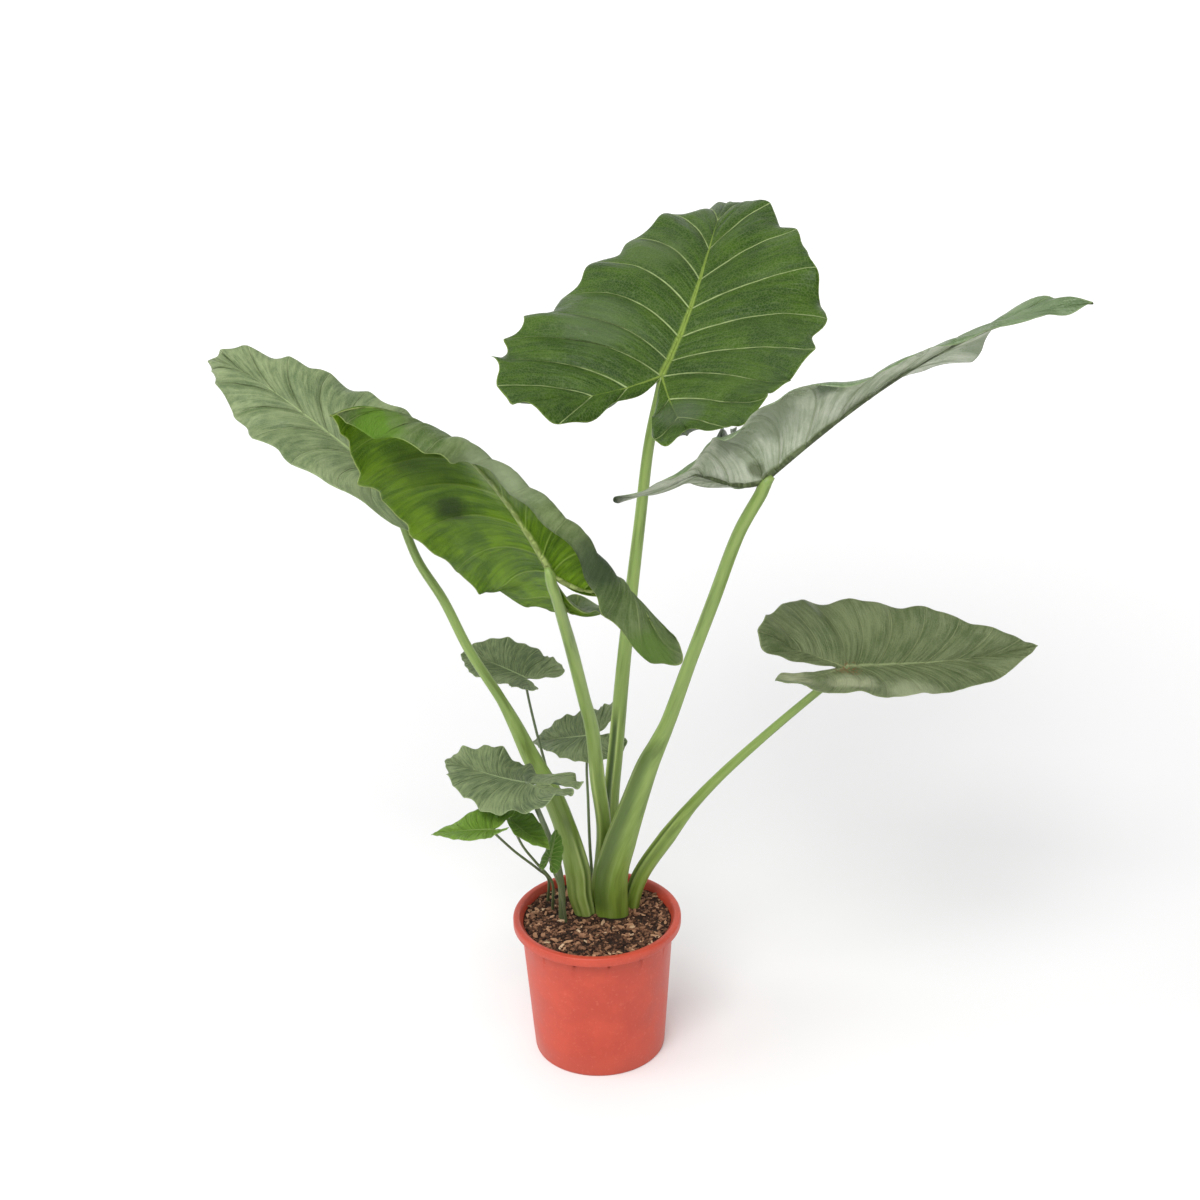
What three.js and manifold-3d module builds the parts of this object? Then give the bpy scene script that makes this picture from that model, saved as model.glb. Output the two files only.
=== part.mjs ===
// Potted alocasia portodora: a plastic nursery pot filled with bark soil, and eleven arrow-shaped
// leaves, each a blade on its own leaf stalk. Millimetres, +Z up. The origin is the middle of the
// pot's flat underside, +X runs to the right and +Y away from the viewer.
import * as THREE from 'three';
import { mergeVertices } from 'three/addons/utils/BufferGeometryUtils.js';
import Module from 'manifold-3d';

const wasm = await Module();
wasm.setup();

// Driving dimensions
const FACE_GAP = 0.3;
const POT = {
  height: 187,
  baseRadius: 82.5,
  neckRadius: 95,
  lipRadius: 105,
  lipHeight: 11,
  lipRound: 1.5,
  wall: 2,
  mouthRadius: 96.5,
  floor: 3,
  sides: 48,
  notchCount: 14,
  notchWidth: 3,
  notchHeight: 9,
  notchDepth: 1.2,
  notchTurn: 8,
  drainCount: 6,
  drainRadius: 5,
  drainCircle: 62,
};
const SOIL = {
  level: 178,
  mound: 3,
  roughness: 1.2,
  rings: 6,
  sides: 32,
  stalkDepth: 50,
};
const STALK_SIDES = { large: 10, small: 8 };
const STALK_STEP = { large: 40, small: 45 };
const NECK_LENGTH = 1.6;

// One half of the flat leaf, from the tip round to the notch, in lengths of the blade's front part.
// Each row is a main vein: where it leaves the midrib or the lobe's rib, and where it ends.
const VEINS = [
  { rib: [0, 1], margin: [0, 1] },
  { rib: [0, 0.74], margin: [0.065, 0.925] },
  { rib: [0, 0.56], margin: [0.155, 0.8] },
  { rib: [0, 0.41], margin: [0.255, 0.64] },
  { rib: [0, 0.28], margin: [0.345, 0.465] },
  { rib: [0, 0.16], margin: [0.415, 0.285] },
  { rib: [0, 0.06], margin: [0.46, 0.1] },
  { rib: [0, 0], margin: [0.475, -0.08] },
  { rib: [0.07, -0.103], margin: [0.45, -0.25] },
  { rib: [0.14, -0.207], margin: [0.375, -0.39] },
  { rib: [0.21, -0.31], margin: [0.26, -0.46] },
  { rib: [0.14, -0.207], margin: [0.145, -0.4] },
  { rib: [0.07, -0.103], margin: [0.07, -0.24] },
  { rib: [0, 0], margin: [0.012, -0.05] },
];
const JUNCTION_VEIN = 7;
const LOBE_END_VEIN = 10;
const LOBE_RIB_LENGTH = 0.375;
const VEIN_BOW = 0.06;
const PUFF = 0.012;
const TAIL_START = 0.8;
const SPREAD_REACH = 0.25;
const CURL_WIDTH = 0.45;
const FOLD_STATIONS = [-0.45, 0, 0.33, 0.67, 1];
const CURL_STATIONS = [-0.45, 0.2, 1];
const ROWS_ACROSS = {
  large: [0, 0.04, 0.3, 0.55, 0.8, 1],
  rolled: [0, 0.04, 0.22, 0.4, 0.53, 0.65, 0.77, 0.89, 1],
  small: [0, 0.12, 0.45, 0.75, 1],
};
const STEPS_PER_VEIN = { large: 2, small: 1 };
const SHEET = { large: 1.1, small: 0.8 };
const VEIN_RIDGE = { large: 0.7, small: 0.3 };

// The leaves. junction is where blade and stalk meet. azimuth (0 is +Y, 90 is +X), elevation and
// roll turn the blade; arch bends its midrib down and lobeBend its lobes, sweep and twist turn it
// along its length. fold and curl lift the left and right halves, in degrees, from lobes to tip,
// and spread opens the lobes. A half whose margin is rolled over has rolled in their place: at
// stations along the leaf it leaves the midrib at base degrees and, from start, turns by turn
// degrees over a further distance over. A stalk runs from the soil to the junction as
// [x, y, z, half width, half depth].
const LEAVES = [
  {
    name: 'top',
    size: 'large',
    junction: [92, 113, 850],
    azimuth: 31,
    elevation: 34,
    roll: 0,
    length: 364,
    width: 1.1,
    arch: [-18, 62],
    lobeBend: -52,
    sweep: -27,
    twist: -7,
    fold: { left: [11, 29, 15, 5, 1], right: [6, 9, -7, 2, 6] },
    curl: { left: [14, -40, -25], right: [26, 9, -12] },
    spread: { left: 0, right: 3 },
    scallop: 0.035,
    ruffle: 0.018,
    ruffleTurn: 40,
    tail: 0,
    ribDepth: 5,
    stalk: [
      [16, 50, SOIL.level, 10.5, 9.5],
      [18, 52, 234, 10, 9.5],
      [21, 52, 319, 10, 9],
      [28, 53, 388, 9.5, 9],
      [42, 69, 517, 8.5, 8.5],
      [63, 92, 675, 7, 7],
      [76, 104, 771, 6.5, 6.5],
    ],
  },
  {
    name: 'right',
    size: 'large',
    rows: 'rolled',
    junction: [197, -60, 784],
    azimuth: 82,
    elevation: 39,
    roll: -31,
    length: 379,
    arch: [7, 23],
    lobeBend: -109,
    sweep: 21,
    twist: -14,
    rolled: {
      left: {
        width: 0.9,
        along: [-0.45, -0.25, -0.1, 0, 0.15, 0.35, 0.55, 0.75, 0.9, 1.1],
        base: [33, 31, 37, 34, 35, 9, -6, -29, 18, 96],
        start: [0.06, 0.08, 0.09, 0.09, 0.1, 0.09, 0.08, 0.08, 0.09, 0.1],
        turn: [28, -3, -21, -15, -29, -38, -6, -20, -41, -62],
        over: [0.28, 0.35, 0.41, 0.41, 0.42, 0.35, 0.25, 0.27, 0.3, 0.35],
      },
      right: {
        width: 0.51,
        along: [-0.45, -0.25, -0.1, 0, 0.15, 0.35, 0.55, 0.75, 0.9, 1.1],
        base: [-43, 2, 53, 63, 63, 39, 6, 12, -7, -29],
        start: [0.07, 0.03, 0, 0, 0, 0, 0, 0.02, 0.04, 0.06],
        turn: [49, 18, -89, -117, -104, -87, -9, 91, 194, 294],
        over: [0.36, 0.44, 0.5, 0.47, 0.43, 0.43, 0.44, 0.46, 0.48, 0.5],
      },
    },
    spread: { left: 33, right: 26 },
    scallop: 0.03,
    ruffle: 0.012,
    ruffleTurn: 100,
    tail: 0.1,
    ribDepth: 6,
    stalk: [
      [19, 10, SOIL.level, 21, 13],
      [18, 7, 219, 21, 14],
      [21, 5, 249, 20.5, 14],
      [31, 1, 288, 19.5, 15],
      [43, -3, 328, 17, 14],
      [66, -9, 400, 13.5, 12],
      [78, -11, 428, 11, 10.5],
      [90, -13, 457, 9, 8.6],
      [117, -22, 542, 7.9, 7.9],
      [144, -36, 627, 7.8, 7.8],
      [173, -50, 718, 7.4, 7.4],
    ],
  },
  {
    name: 'front',
    size: 'large',
    rows: 'rolled',
    junction: [-37, -190, 732],
    azimuth: -65,
    elevation: 59.5,
    roll: 85,
    length: 347,
    width: 1.14,
    arch: [10, 82],
    lobeBend: -109,
    sweep: 11,
    twist: 22,
    fold: { right: [19, 31, 8, -29, -60] },
    curl: { right: [18, -21, 5] },
    rolled: {
      left: {
        width: 0.61,
        along: [-0.45, -0.3, -0.15, 0, 0.15, 0.3, 0.45, 0.6, 0.8, 1],
        base: [-34, 11, 21, 12, 0, 3, -13, -36, -85, -114],
        start: [0.04, 0.05, 0.1, 0.12, 0.13, 0.07, 0.06, 0.12, 0.05, 0],
        turn: [-67, -158, -221, -239, -262, -216, -225, -147, -59, 35],
        over: [0.19, 0.25, 0.24, 0.21, 0.16, 0.14, 0.12, 0.12, 0.08, 0.06],
      },
    },
    spread: { left: 15, right: -9 },
    scallop: 0.03,
    ruffle: 0.015,
    ruffleTurn: 10,
    tail: 0,
    ribDepth: 5,
    stalk: [
      [-2, 38, SOIL.level, 9, 9],
      [7, 32, 245, 8.5, 9],
      [11, 23, 296, 9.3, 9],
      [5, 1, 375, 9.3, 9],
      [0, -33, 462, 8.5, 8.5],
      [-8, -60, 515, 7.6, 7.8],
      [-20, -116, 605, 7.3, 7.3],
      [-28, -156, 661, 6.6, 6.6],
      [-34, -190, 704, 6, 6],
    ],
  },
  {
    name: 'left',
    size: 'large',
    junction: [-235, 60, 751],
    azimuth: -80,
    elevation: 38,
    roll: -40,
    length: 294,
    width: 0.66,
    arch: [6, 60],
    lobeBend: 22,
    sweep: 16,
    twist: 17,
    fold: { left: [48, 39, 28, -9, 4], right: [6, -2, -16, -14, 30] },
    curl: { left: [13, 25, -3], right: [-3, -11, -6] },
    spread: { left: -12, right: 0 },
    scallop: 0.035,
    ruffle: 0.018,
    ruffleTurn: 70,
    tail: 0,
    ribDepth: 4.5,
    stalk: [
      [-15, 13, SOIL.level, 13, 10],
      [-21, 14, 208, 15, 11],
      [-23, 16, 240, 16, 12],
      [-39, 21, 307, 13.5, 12],
      [-55, 24, 352, 13, 12],
      [-76, 28, 395, 11.2, 11],
      [-93, 31, 436, 8.8, 9],
      [-109, 34, 470, 6.4, 6.4],
      [-146, 40, 536, 6, 6],
      [-174, 46, 600, 5.8, 5.8],
      [-202, 51, 650, 5.4, 5.4],
      [-222, 57, 710, 5, 5],
    ],
  },
  {
    name: 'low_right',
    size: 'large',
    junction: [302, 0, 519],
    azimuth: 80,
    elevation: -3,
    roll: 6,
    length: 237,
    width: 0.87,
    arch: [2, -21],
    lobeBend: -26,
    sweep: 6,
    twist: -30,
    fold: { left: [46, 23, 20, 22, 17], right: [-1, 10, 18, 15, 1] },
    curl: { left: [-27, 8, 0], right: [53, -6, 2] },
    spread: { left: -13, right: 4 },
    scallop: 0.015,
    ruffle: 0.012,
    ruffleTurn: 130,
    tail: 0,
    ribDepth: 4,
    stalk: [
      [43, 27, SOIL.level, 10, 10],
      [55, 25, 224, 10.5, 10],
      [90, 21, 283, 10.5, 10],
      [120, 18, 327, 7.2, 7.2],
      [155, 14, 370, 6.1, 6.1],
      [203, 9, 421, 5.4, 5.4],
      [250, 4, 468, 5, 5],
      [276, 1, 493, 4.8, 4.8],
    ],
  },
  {
    name: 'small_back_left',
    size: 'small',
    junction: [-82, 85, 475],
    azimuth: -64,
    elevation: 16,
    roll: 0,
    length: 97,
    width: 1.13,
    arch: [7, 20],
    lobeBend: -14,
    sweep: 12,
    twist: 50,
    fold: { left: [21, 15, 18, 18, 15], right: [5, 11, 8, 28, 29] },
    curl: { left: [0, 0, 0], right: [0, 0, 0] },
    spread: { left: 19, right: 15 },
    scallop: 0.02,
    ruffle: 0.01,
    ruffleTurn: 0,
    tail: 0,
    ribDepth: 1.6,
    stalk: [
      [-26, 48, SOIL.level, 2.2, 2.2],
      [-44, 58, 274, 2, 2],
      [-59, 70, 356, 1.9, 1.9],
      [-69, 77, 400, 1.7, 1.7],
      [-77, 82, 441, 1.6, 1.6],
    ],
  },
  {
    name: 'small_back',
    size: 'small',
    junction: [-1, 107, 382],
    azimuth: -71,
    elevation: -16,
    roll: -25,
    length: 98,
    width: 1,
    arch: [12, 10],
    lobeBend: 10,
    sweep: 20,
    twist: -10,
    fold: { left: [-1, 0, 14, 25, 20], right: [15, -5, 6, 26, 18] },
    curl: { left: [0, 0, 0], right: [0, 0, 0] },
    spread: { left: -13, right: 20 },
    scallop: 0.03,
    ruffle: 0.015,
    ruffleTurn: 60,
    tail: 0,
    ribDepth: 1.6,
    stalk: [
      [-4, 56, SOIL.level, 2.2, 2.2],
      [-7, 66, 240, 2, 2],
      [-8, 86, 301, 1.8, 1.8],
      [-8, 101, 352, 1.6, 1.6],
    ],
  },
  {
    name: 'small_left',
    size: 'small',
    junction: [-77, -64, 409],
    azimuth: -79,
    elevation: 4,
    roll: 5,
    length: 120,
    width: 1.1,
    arch: [-11, 20],
    lobeBend: -3,
    sweep: 40,
    twist: 43,
    fold: { left: [14, -13, -10, 10, 12], right: [-9, -11, -16, 19, 23] },
    curl: { left: [0, 0, 0], right: [0, 0, 0] },
    spread: { left: -8, right: -17 },
    scallop: 0.03,
    ruffle: 0.03,
    ruffleTurn: 20,
    tail: 0,
    ribDepth: 2,
    stalk: [
      [-44, 4, SOIL.level, 4.2, 4],
      [-43, -6, 225, 4.4, 4.2],
      [-48, -22, 281, 4.2, 4],
      [-58, -36, 326, 3.8, 3.6],
      [-70, -54, 375, 3.2, 3.2],
    ],
  },
  {
    name: 'young_left',
    size: 'small',
    junction: [-120, -112, 374],
    azimuth: -80,
    elevation: -7,
    roll: -1,
    length: 76,
    width: 1.06,
    arch: [-6, 20],
    lobeBend: -32,
    sweep: 5,
    twist: -5,
    fold: { left: [20, 15, 7, 8, 14], right: [17, 13, 23, 6, 7] },
    curl: { left: [0, 0, 0], right: [0, 0, 0] },
    spread: { left: 8, right: 15 },
    scallop: 0,
    ruffle: 0.008,
    ruffleTurn: 0,
    tail: 0,
    ribDepth: 1.4,
    stalk: [
      [-62, 44, SOIL.level, 1.8, 1.8],
      [-60, 24, 224, 1.8, 1.8],
      [-71, -3, 254, 1.7, 1.7],
      [-97, -63, 316, 1.6, 1.6],
    ],
  },
  {
    name: 'young_front',
    size: 'small',
    junction: [-98, -63, 356],
    azimuth: 134,
    elevation: -22,
    roll: -19,
    length: 62,
    width: 1.05,
    arch: [-28, 20],
    lobeBend: -7,
    sweep: -2,
    twist: -19,
    fold: { left: [12, 20, 19, 14, 14], right: [19, 33, 15, 11, 13] },
    curl: { left: [0, 0, 0], right: [0, 0, 0] },
    spread: { left: 0, right: 0 },
    scallop: 0,
    ruffle: 0.01,
    ruffleTurn: 90,
    tail: 0,
    ribDepth: 1.4,
    stalk: [
      [-56, 26, SOIL.level, 1.8, 1.8],
      [-55, 6, 230, 1.8, 1.8],
      [-72, -16, 270, 1.7, 1.7],
      [-88, -40, 310, 1.6, 1.6],
    ],
  },
  {
    name: 'young_curled',
    size: 'small',
    junction: [-55, -58, 301],
    azimuth: 40,
    elevation: 62,
    roll: 200,
    length: 40,
    width: 0.9,
    arch: [10, 30],
    lobeBend: -20,
    sweep: 0,
    twist: 10,
    fold: { left: [20, 25, 30, 30, 30], right: [20, 25, 30, 30, 30] },
    curl: { left: [40, 60, 60], right: [40, 60, 60] },
    spread: { left: 0, right: 0 },
    scallop: 0.03,
    ruffle: 0.03,
    ruffleTurn: 0,
    tail: 0,
    ribDepth: 1.4,
    stalk: [
      [-39, -6, SOIL.level, 1.8, 1.8],
      [-44, -30, 241, 1.8, 1.8],
      [-50, -45, 272, 1.7, 1.7],
    ],
  },
];

// Helpers for numbers along a run of stations
const radians = THREE.MathUtils.degToRad;
const lerp = THREE.MathUtils.lerp;
const clamp = THREE.MathUtils.clamp;

function between(stations, values, at) {
  let i = 0;
  while (i < stations.length - 2 && at > stations[i + 1]) i += 1;
  const share = clamp((at - stations[i]) / (stations[i + 1] - stations[i]), 0, 1);
  return lerp(values[i], values[i + 1], share);
}

// Solids: a closed three.js geometry becomes a manifold for a cut, and comes back as a geometry.
function toManifold(geometry) {
  const bare = geometry.clone();
  bare.deleteAttribute('normal');
  bare.deleteAttribute('uv');
  const merged = mergeVertices(bare, 1e-4);
  return new wasm.Manifold(new wasm.Mesh({
    numProp: 3,
    vertProperties: new Float32Array(merged.attributes.position.array),
    triVerts: new Uint32Array(merged.index.array),
  }));
}

function toGeometry(manifold) {
  const mesh = manifold.getMesh();
  const geometry = new THREE.BufferGeometry();
  geometry.setAttribute('position', new THREE.BufferAttribute(mesh.vertProperties, 3));
  geometry.setIndex(new THREE.BufferAttribute(mesh.triVerts, 1));
  geometry.computeVertexNormals();
  return geometry;
}

// Blade: the margin is one smooth curve through the vein ends.
const marginCurve = new THREE.CatmullRomCurve3(
  VEINS.map(({ margin }) => new THREE.Vector3(margin[0], margin[1], 0)),
  false,
  'catmullrom',
  0.5,
);
const LAST_VEIN = VEINS.length - 1;

function ribPlan(vein) {
  const i = Math.min(Math.floor(vein), LAST_VEIN - 1);
  const [x0, y0] = VEINS[i].rib;
  const [x1, y1] = VEINS[i + 1].rib;
  return [lerp(x0, x1, vein - i), lerp(y0, y1, vein - i)];
}

// The flat leaf: vein counts round the half, across runs from the rib (0) to the margin (1).
function planPoint(leaf, vein, across) {
  const [ribX, ribY] = ribPlan(vein);
  const margin = marginCurve.getPoint(vein / LAST_VEIN);
  const point = 1 - Math.abs(Math.sin(Math.PI * vein));
  const onFront = clamp(vein, 0, 1) * clamp(LAST_VEIN - vein, 0, 1);
  const reach = across * (1 + leaf.scallop * onFront * across ** 2 * (2 * point - 1));
  const x = lerp(ribX, margin.x, reach);
  const y = lerp(ribY, margin.y, reach);
  const veinLength = Math.hypot(margin.x - ribX, margin.y - ribY);
  const towardsTip = vein < LOBE_END_VEIN + 0.5 ? 1 : -0.3;
  const bow = VEIN_BOW * 4 * across * (1 - across) * Math.min(1, 2 * veinLength) * towardsTip;
  const drawnOut = leaf.tail * Math.max(0, (y - TAIL_START) / (1 - TAIL_START)) ** 2;
  return [x, y + bow + drawnOut];
}

// Where the midrib's line is at a given distance along the leaf, and which way it faces there.
function spineAt(leaf, along) {
  const pitchAt = (t) => (t >= 0
    ? -(radians(leaf.arch[0]) * t + radians(leaf.arch[1]) * t * t)
    : -2 * radians(leaf.lobeBend) * t);
  const yawAt = (t) => Math.max(0, t) * radians(leaf.sweep);
  const heading = (t) => new THREE.Vector3(
    Math.sin(yawAt(t)) * Math.cos(pitchAt(t)),
    Math.cos(yawAt(t)) * Math.cos(pitchAt(t)),
    Math.sin(pitchAt(t)),
  );
  const steps = 24;
  const origin = new THREE.Vector3();
  for (let i = 0; i < steps; i += 1) {
    origin.addScaledVector(heading((along * (i + 0.5)) / steps), along / steps);
  }
  const tangent = heading(along);
  const level = new THREE.Vector3(Math.cos(yawAt(along)), -Math.sin(yawAt(along)), 0);
  const twist = radians(leaf.twist) * Math.max(0, along);
  const side = level.clone().applyAxisAngle(tangent, -twist);
  const up = new THREE.Vector3().crossVectors(side, tangent);
  return { origin, side, up };
}

// The blade's own axes in the plant: across it, along its midrib and out of its upper face.
function bladeAxes(leaf) {
  const azimuth = radians(leaf.azimuth);
  const elevation = radians(leaf.elevation);
  const along = new THREE.Vector3(
    Math.sin(azimuth) * Math.cos(elevation),
    Math.cos(azimuth) * Math.cos(elevation),
    Math.sin(elevation),
  );
  const level = new THREE.Vector3(Math.cos(azimuth), -Math.sin(azimuth), 0);
  const across = level.applyAxisAngle(along, radians(leaf.roll));
  const out = new THREE.Vector3().crossVectors(across, along);
  return { across, along, out };
}

// How steeply a half stands at a distance from the rib: a fold and an even curl, or, for a half
// that is rolled over, a turn from one distance to another.
function foldedBend(leaf, half, y) {
  const fold = radians(between(FOLD_STATIONS, leaf.fold[half], y));
  const curl = radians(between(CURL_STATIONS, leaf.curl[half], y));
  return (reach) => fold + curl * (reach / CURL_WIDTH) ** 2;
}

function rolledBend(rolled, y) {
  const at = (values) => between(rolled.along, values, y);
  const [base, start, turn, over] = [rolled.base, rolled.start, rolled.turn, rolled.over].map(at);
  return (reach) => radians(base + turn * THREE.MathUtils.smoothstep(reach, start, start + over));
}

function bladePoint(leaf, half, vein, across) {
  let [x, y] = planPoint(leaf, vein, across);
  const rolled = leaf.rolled?.[half];
  x *= rolled ? rolled.width : leaf.width;
  const spread = radians(leaf.spread[half]) * clamp(-y / SPREAD_REACH, 0, 1);
  [x, y] = [x * Math.cos(spread) - y * Math.sin(spread), x * Math.sin(spread) + y * Math.cos(spread)];
  const bend = rolled ? rolledBend(rolled, y) : foldedBend(leaf, half, y);
  let sideways = 0;
  let lift = 0;
  const steps = 12;
  for (let i = 0; i < steps; i += 1) {
    const angle = bend((x * (i + 0.5)) / steps);
    sideways += (Math.cos(angle) * x) / steps;
    lift += (Math.sin(angle) * x) / steps;
  }
  const onFront = clamp(vein, 0, 1) * clamp(LAST_VEIN - vein, 0, 1);
  lift += PUFF * Math.sin(Math.PI * vein) ** 2 * 4 * across * (1 - across) * onFront;
  const turn = Math.PI * vein + radians(leaf.ruffleTurn + (half === 'left' ? 0 : 110));
  lift += leaf.ruffle * across ** 3 * Math.sin(turn) * onFront;
  const { origin, side, up } = spineAt(leaf, y);
  const local = origin.addScaledVector(side, half === 'left' ? -sideways : sideways);
  local.addScaledVector(up, lift);
  const axes = bladeAxes(leaf);
  return new THREE.Vector3(...leaf.junction)
    .addScaledVector(axes.across, leaf.length * local.x)
    .addScaledVector(axes.along, leaf.length * local.y)
    .addScaledVector(axes.out, leaf.length * local.z);
}

// How far the rib stands out of the underside: deepest at the junction, running out at the tip
// and at the lobes' ends. The side veins are low ridges.
function ridgeDepth(leaf, vein, across) {
  if (across > 0) return Number.isInteger(vein) ? VEIN_RIDGE[leaf.size] * (1 - across) : 0;
  const [x, y] = ribPlan(vein);
  const runOut = vein <= JUNCTION_VEIN ? y : Math.hypot(x, y) / LOBE_RIB_LENGTH;
  return leaf.ribDepth * (1 - runOut);
}

// The blade as a sheet of even thickness with its ribs underneath. Both skins are split into the
// same triangles, and a wall joins them round the edge.
function bladeSolid(leaf) {
  const rows = ROWS_ACROSS[leaf.rows ?? leaf.size];
  const steps = STEPS_PER_VEIN[leaf.size];
  const columns = LAST_VEIN * steps;
  const halfSheet = SHEET[leaf.size] / 2;
  const middle = [];
  const ridges = [];
  const found = new Map();

  const vertex = (half, column, row) => {
    let vein = column / steps;
    if (row === 0) vein = Math.min(vein, 2 * LOBE_END_VEIN - vein);
    let key = `${half} ${vein} ${row}`;
    if (row === 0 && vein <= JUNCTION_VEIN) key = `midrib ${vein}`;
    if (vein === 0) key = 'midrib 0';
    if (!found.has(key)) {
      found.set(key, middle.length);
      middle.push(bladePoint(leaf, half, vein, rows[row]));
      ridges.push(ridgeDepth(leaf, vein, rows[row]));
    }
    return found.get(key);
  };

  const faces = [];
  const addFace = (a, b, c, half) => {
    if (a === b || b === c || c === a) return;
    faces.push(half === 'right' ? [a, b, c] : [a, c, b]);
  };
  ['left', 'right'].forEach((half) => {
    for (let column = 0; column < columns; column += 1) {
      for (let row = 0; row < rows.length - 1; row += 1) {
        const near = vertex(half, column, row);
        const far = vertex(half, column, row + 1);
        const nextNear = vertex(half, column + 1, row);
        const nextFar = vertex(half, column + 1, row + 1);
        addFace(near, nextNear, nextFar, half);
        addFace(near, nextFar, far, half);
      }
    }
  });

  const normals = middle.map(() => new THREE.Vector3());
  faces.forEach(([a, b, c]) => {
    const ab = middle[b].clone().sub(middle[a]);
    const ac = middle[c].clone().sub(middle[a]);
    const normal = ab.cross(ac);
    [a, b, c].forEach((i) => normals[i].add(normal));
  });
  normals.forEach((normal) => normal.normalize());
  const upper = middle.map((point, i) => point.clone().addScaledVector(normals[i], halfSheet));
  const lower = middle.map((point, i) => (
    point.clone().addScaledVector(normals[i], -halfSheet - ridges[i])));

  const under = middle.length;
  const index = [];
  const edges = new Set(faces.flatMap(([a, b, c]) => [`${a} ${b}`, `${b} ${c}`, `${c} ${a}`]));
  faces.forEach(([a, b, c]) => {
    index.push(a, b, c, under + a, under + c, under + b);
    [[a, b], [b, c], [c, a]].forEach(([from, to]) => {
      if (edges.has(`${to} ${from}`)) return;
      index.push(to, from, under + from, to, under + from, under + to);
    });
  });
  return closedGeometry([...upper, ...lower], index);
}

// Leaf stalk: rings swept along a smooth curve, from the root end in the soil to the seat under
// the blade's junction. grow widens it and carries it on at the top, for the holes around it.
function stalkSolid(leaf, grow = 0) {
  const sides = STALK_SIDES[leaf.size];
  const { along, out } = bladeAxes(leaf);
  const [rootX, rootY, rootZ, rootWidth, rootDepth] = leaf.stalk[0];
  const [topX, topY, topZ, topWidth, topDepth] = leaf.stalk.at(-1);
  const junction = new THREE.Vector3(...leaf.junction);
  const arrival = junction.clone().sub(new THREE.Vector3(topX, topY, topZ)).normalize();
  const rimRise = topWidth * Math.sin(arrival.angleTo(out));
  const seat = junction
    .addScaledVector(out, -SHEET[leaf.size] / 2 - FACE_GAP - rimRise)
    .addScaledVector(along, -FACE_GAP)
    .addScaledVector(arrival, grow);
  const neck = seat.clone().addScaledVector(arrival, -NECK_LENGTH * topWidth);
  const stations = [
    [rootX, rootY, rootZ - SOIL.stalkDepth - grow, rootWidth, rootDepth],
    ...leaf.stalk,
    [neck.x, neck.y, neck.z, topWidth, topDepth],
    [seat.x, seat.y, seat.z, topWidth, topDepth],
  ];
  const centres = stations.map(([x, y, z]) => new THREE.Vector3(x, y, z));
  const path = new THREE.CatmullRomCurve3(centres, false, 'centripetal');
  const spans = stations.length - 1;
  const points = [];
  stations.slice(0, -1).forEach((station, span) => {
    const length = centres[span].distanceTo(centres[span + 1]);
    const cuts = Math.max(1, Math.round(length / STALK_STEP[leaf.size]));
    for (let cut = 0; cut < cuts; cut += 1) {
      const t = (span + cut / cuts) / spans;
      const widths = [3, 4].map((k) => lerp(station[k], stations[span + 1][k], cut / cuts));
      points.push(...stalkRing(path.getPoint(t), path.getTangent(t), widths, grow, sides));
    }
  });
  points.push(...stalkRing(seat, arrival, [topWidth, topDepth], grow, sides));
  return tubeGeometry(points, sides);
}

// A ring square to the stalk, its width kept level and its depth in the plane of the view.
function stalkRing(centre, tangent, [width, depth], grow, sides) {
  const level = new THREE.Vector3(0, 1, 0).cross(tangent).normalize();
  const inward = new THREE.Vector3().crossVectors(tangent, level).normalize();
  return Array.from({ length: sides }, (_, i) => {
    const turn = (2 * Math.PI * i) / sides;
    return centre.clone()
      .addScaledVector(level, Math.cos(turn) * (width + grow))
      .addScaledVector(inward, Math.sin(turn) * (depth + grow));
  });
}

// Rings of points joined into a closed tube.
function tubeGeometry(points, sides) {
  const index = [];
  const rings = points.length / sides;
  for (let ring = 0; ring < rings - 1; ring += 1) {
    for (let i = 0; i < sides; i += 1) {
      const a = ring * sides + i;
      const b = ring * sides + ((i + 1) % sides);
      index.push(a, b, b + sides, a, b + sides, a + sides);
    }
  }
  const last = (rings - 1) * sides;
  for (let i = 1; i < sides - 1; i += 1) {
    index.push(0, i + 1, i, last, last + i, last + i + 1);
  }
  return closedGeometry(points, index);
}

function closedGeometry(points, index) {
  const geometry = new THREE.BufferGeometry().setFromPoints(points);
  geometry.setIndex(index);
  geometry.computeVertexNormals();
  return geometry;
}

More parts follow.
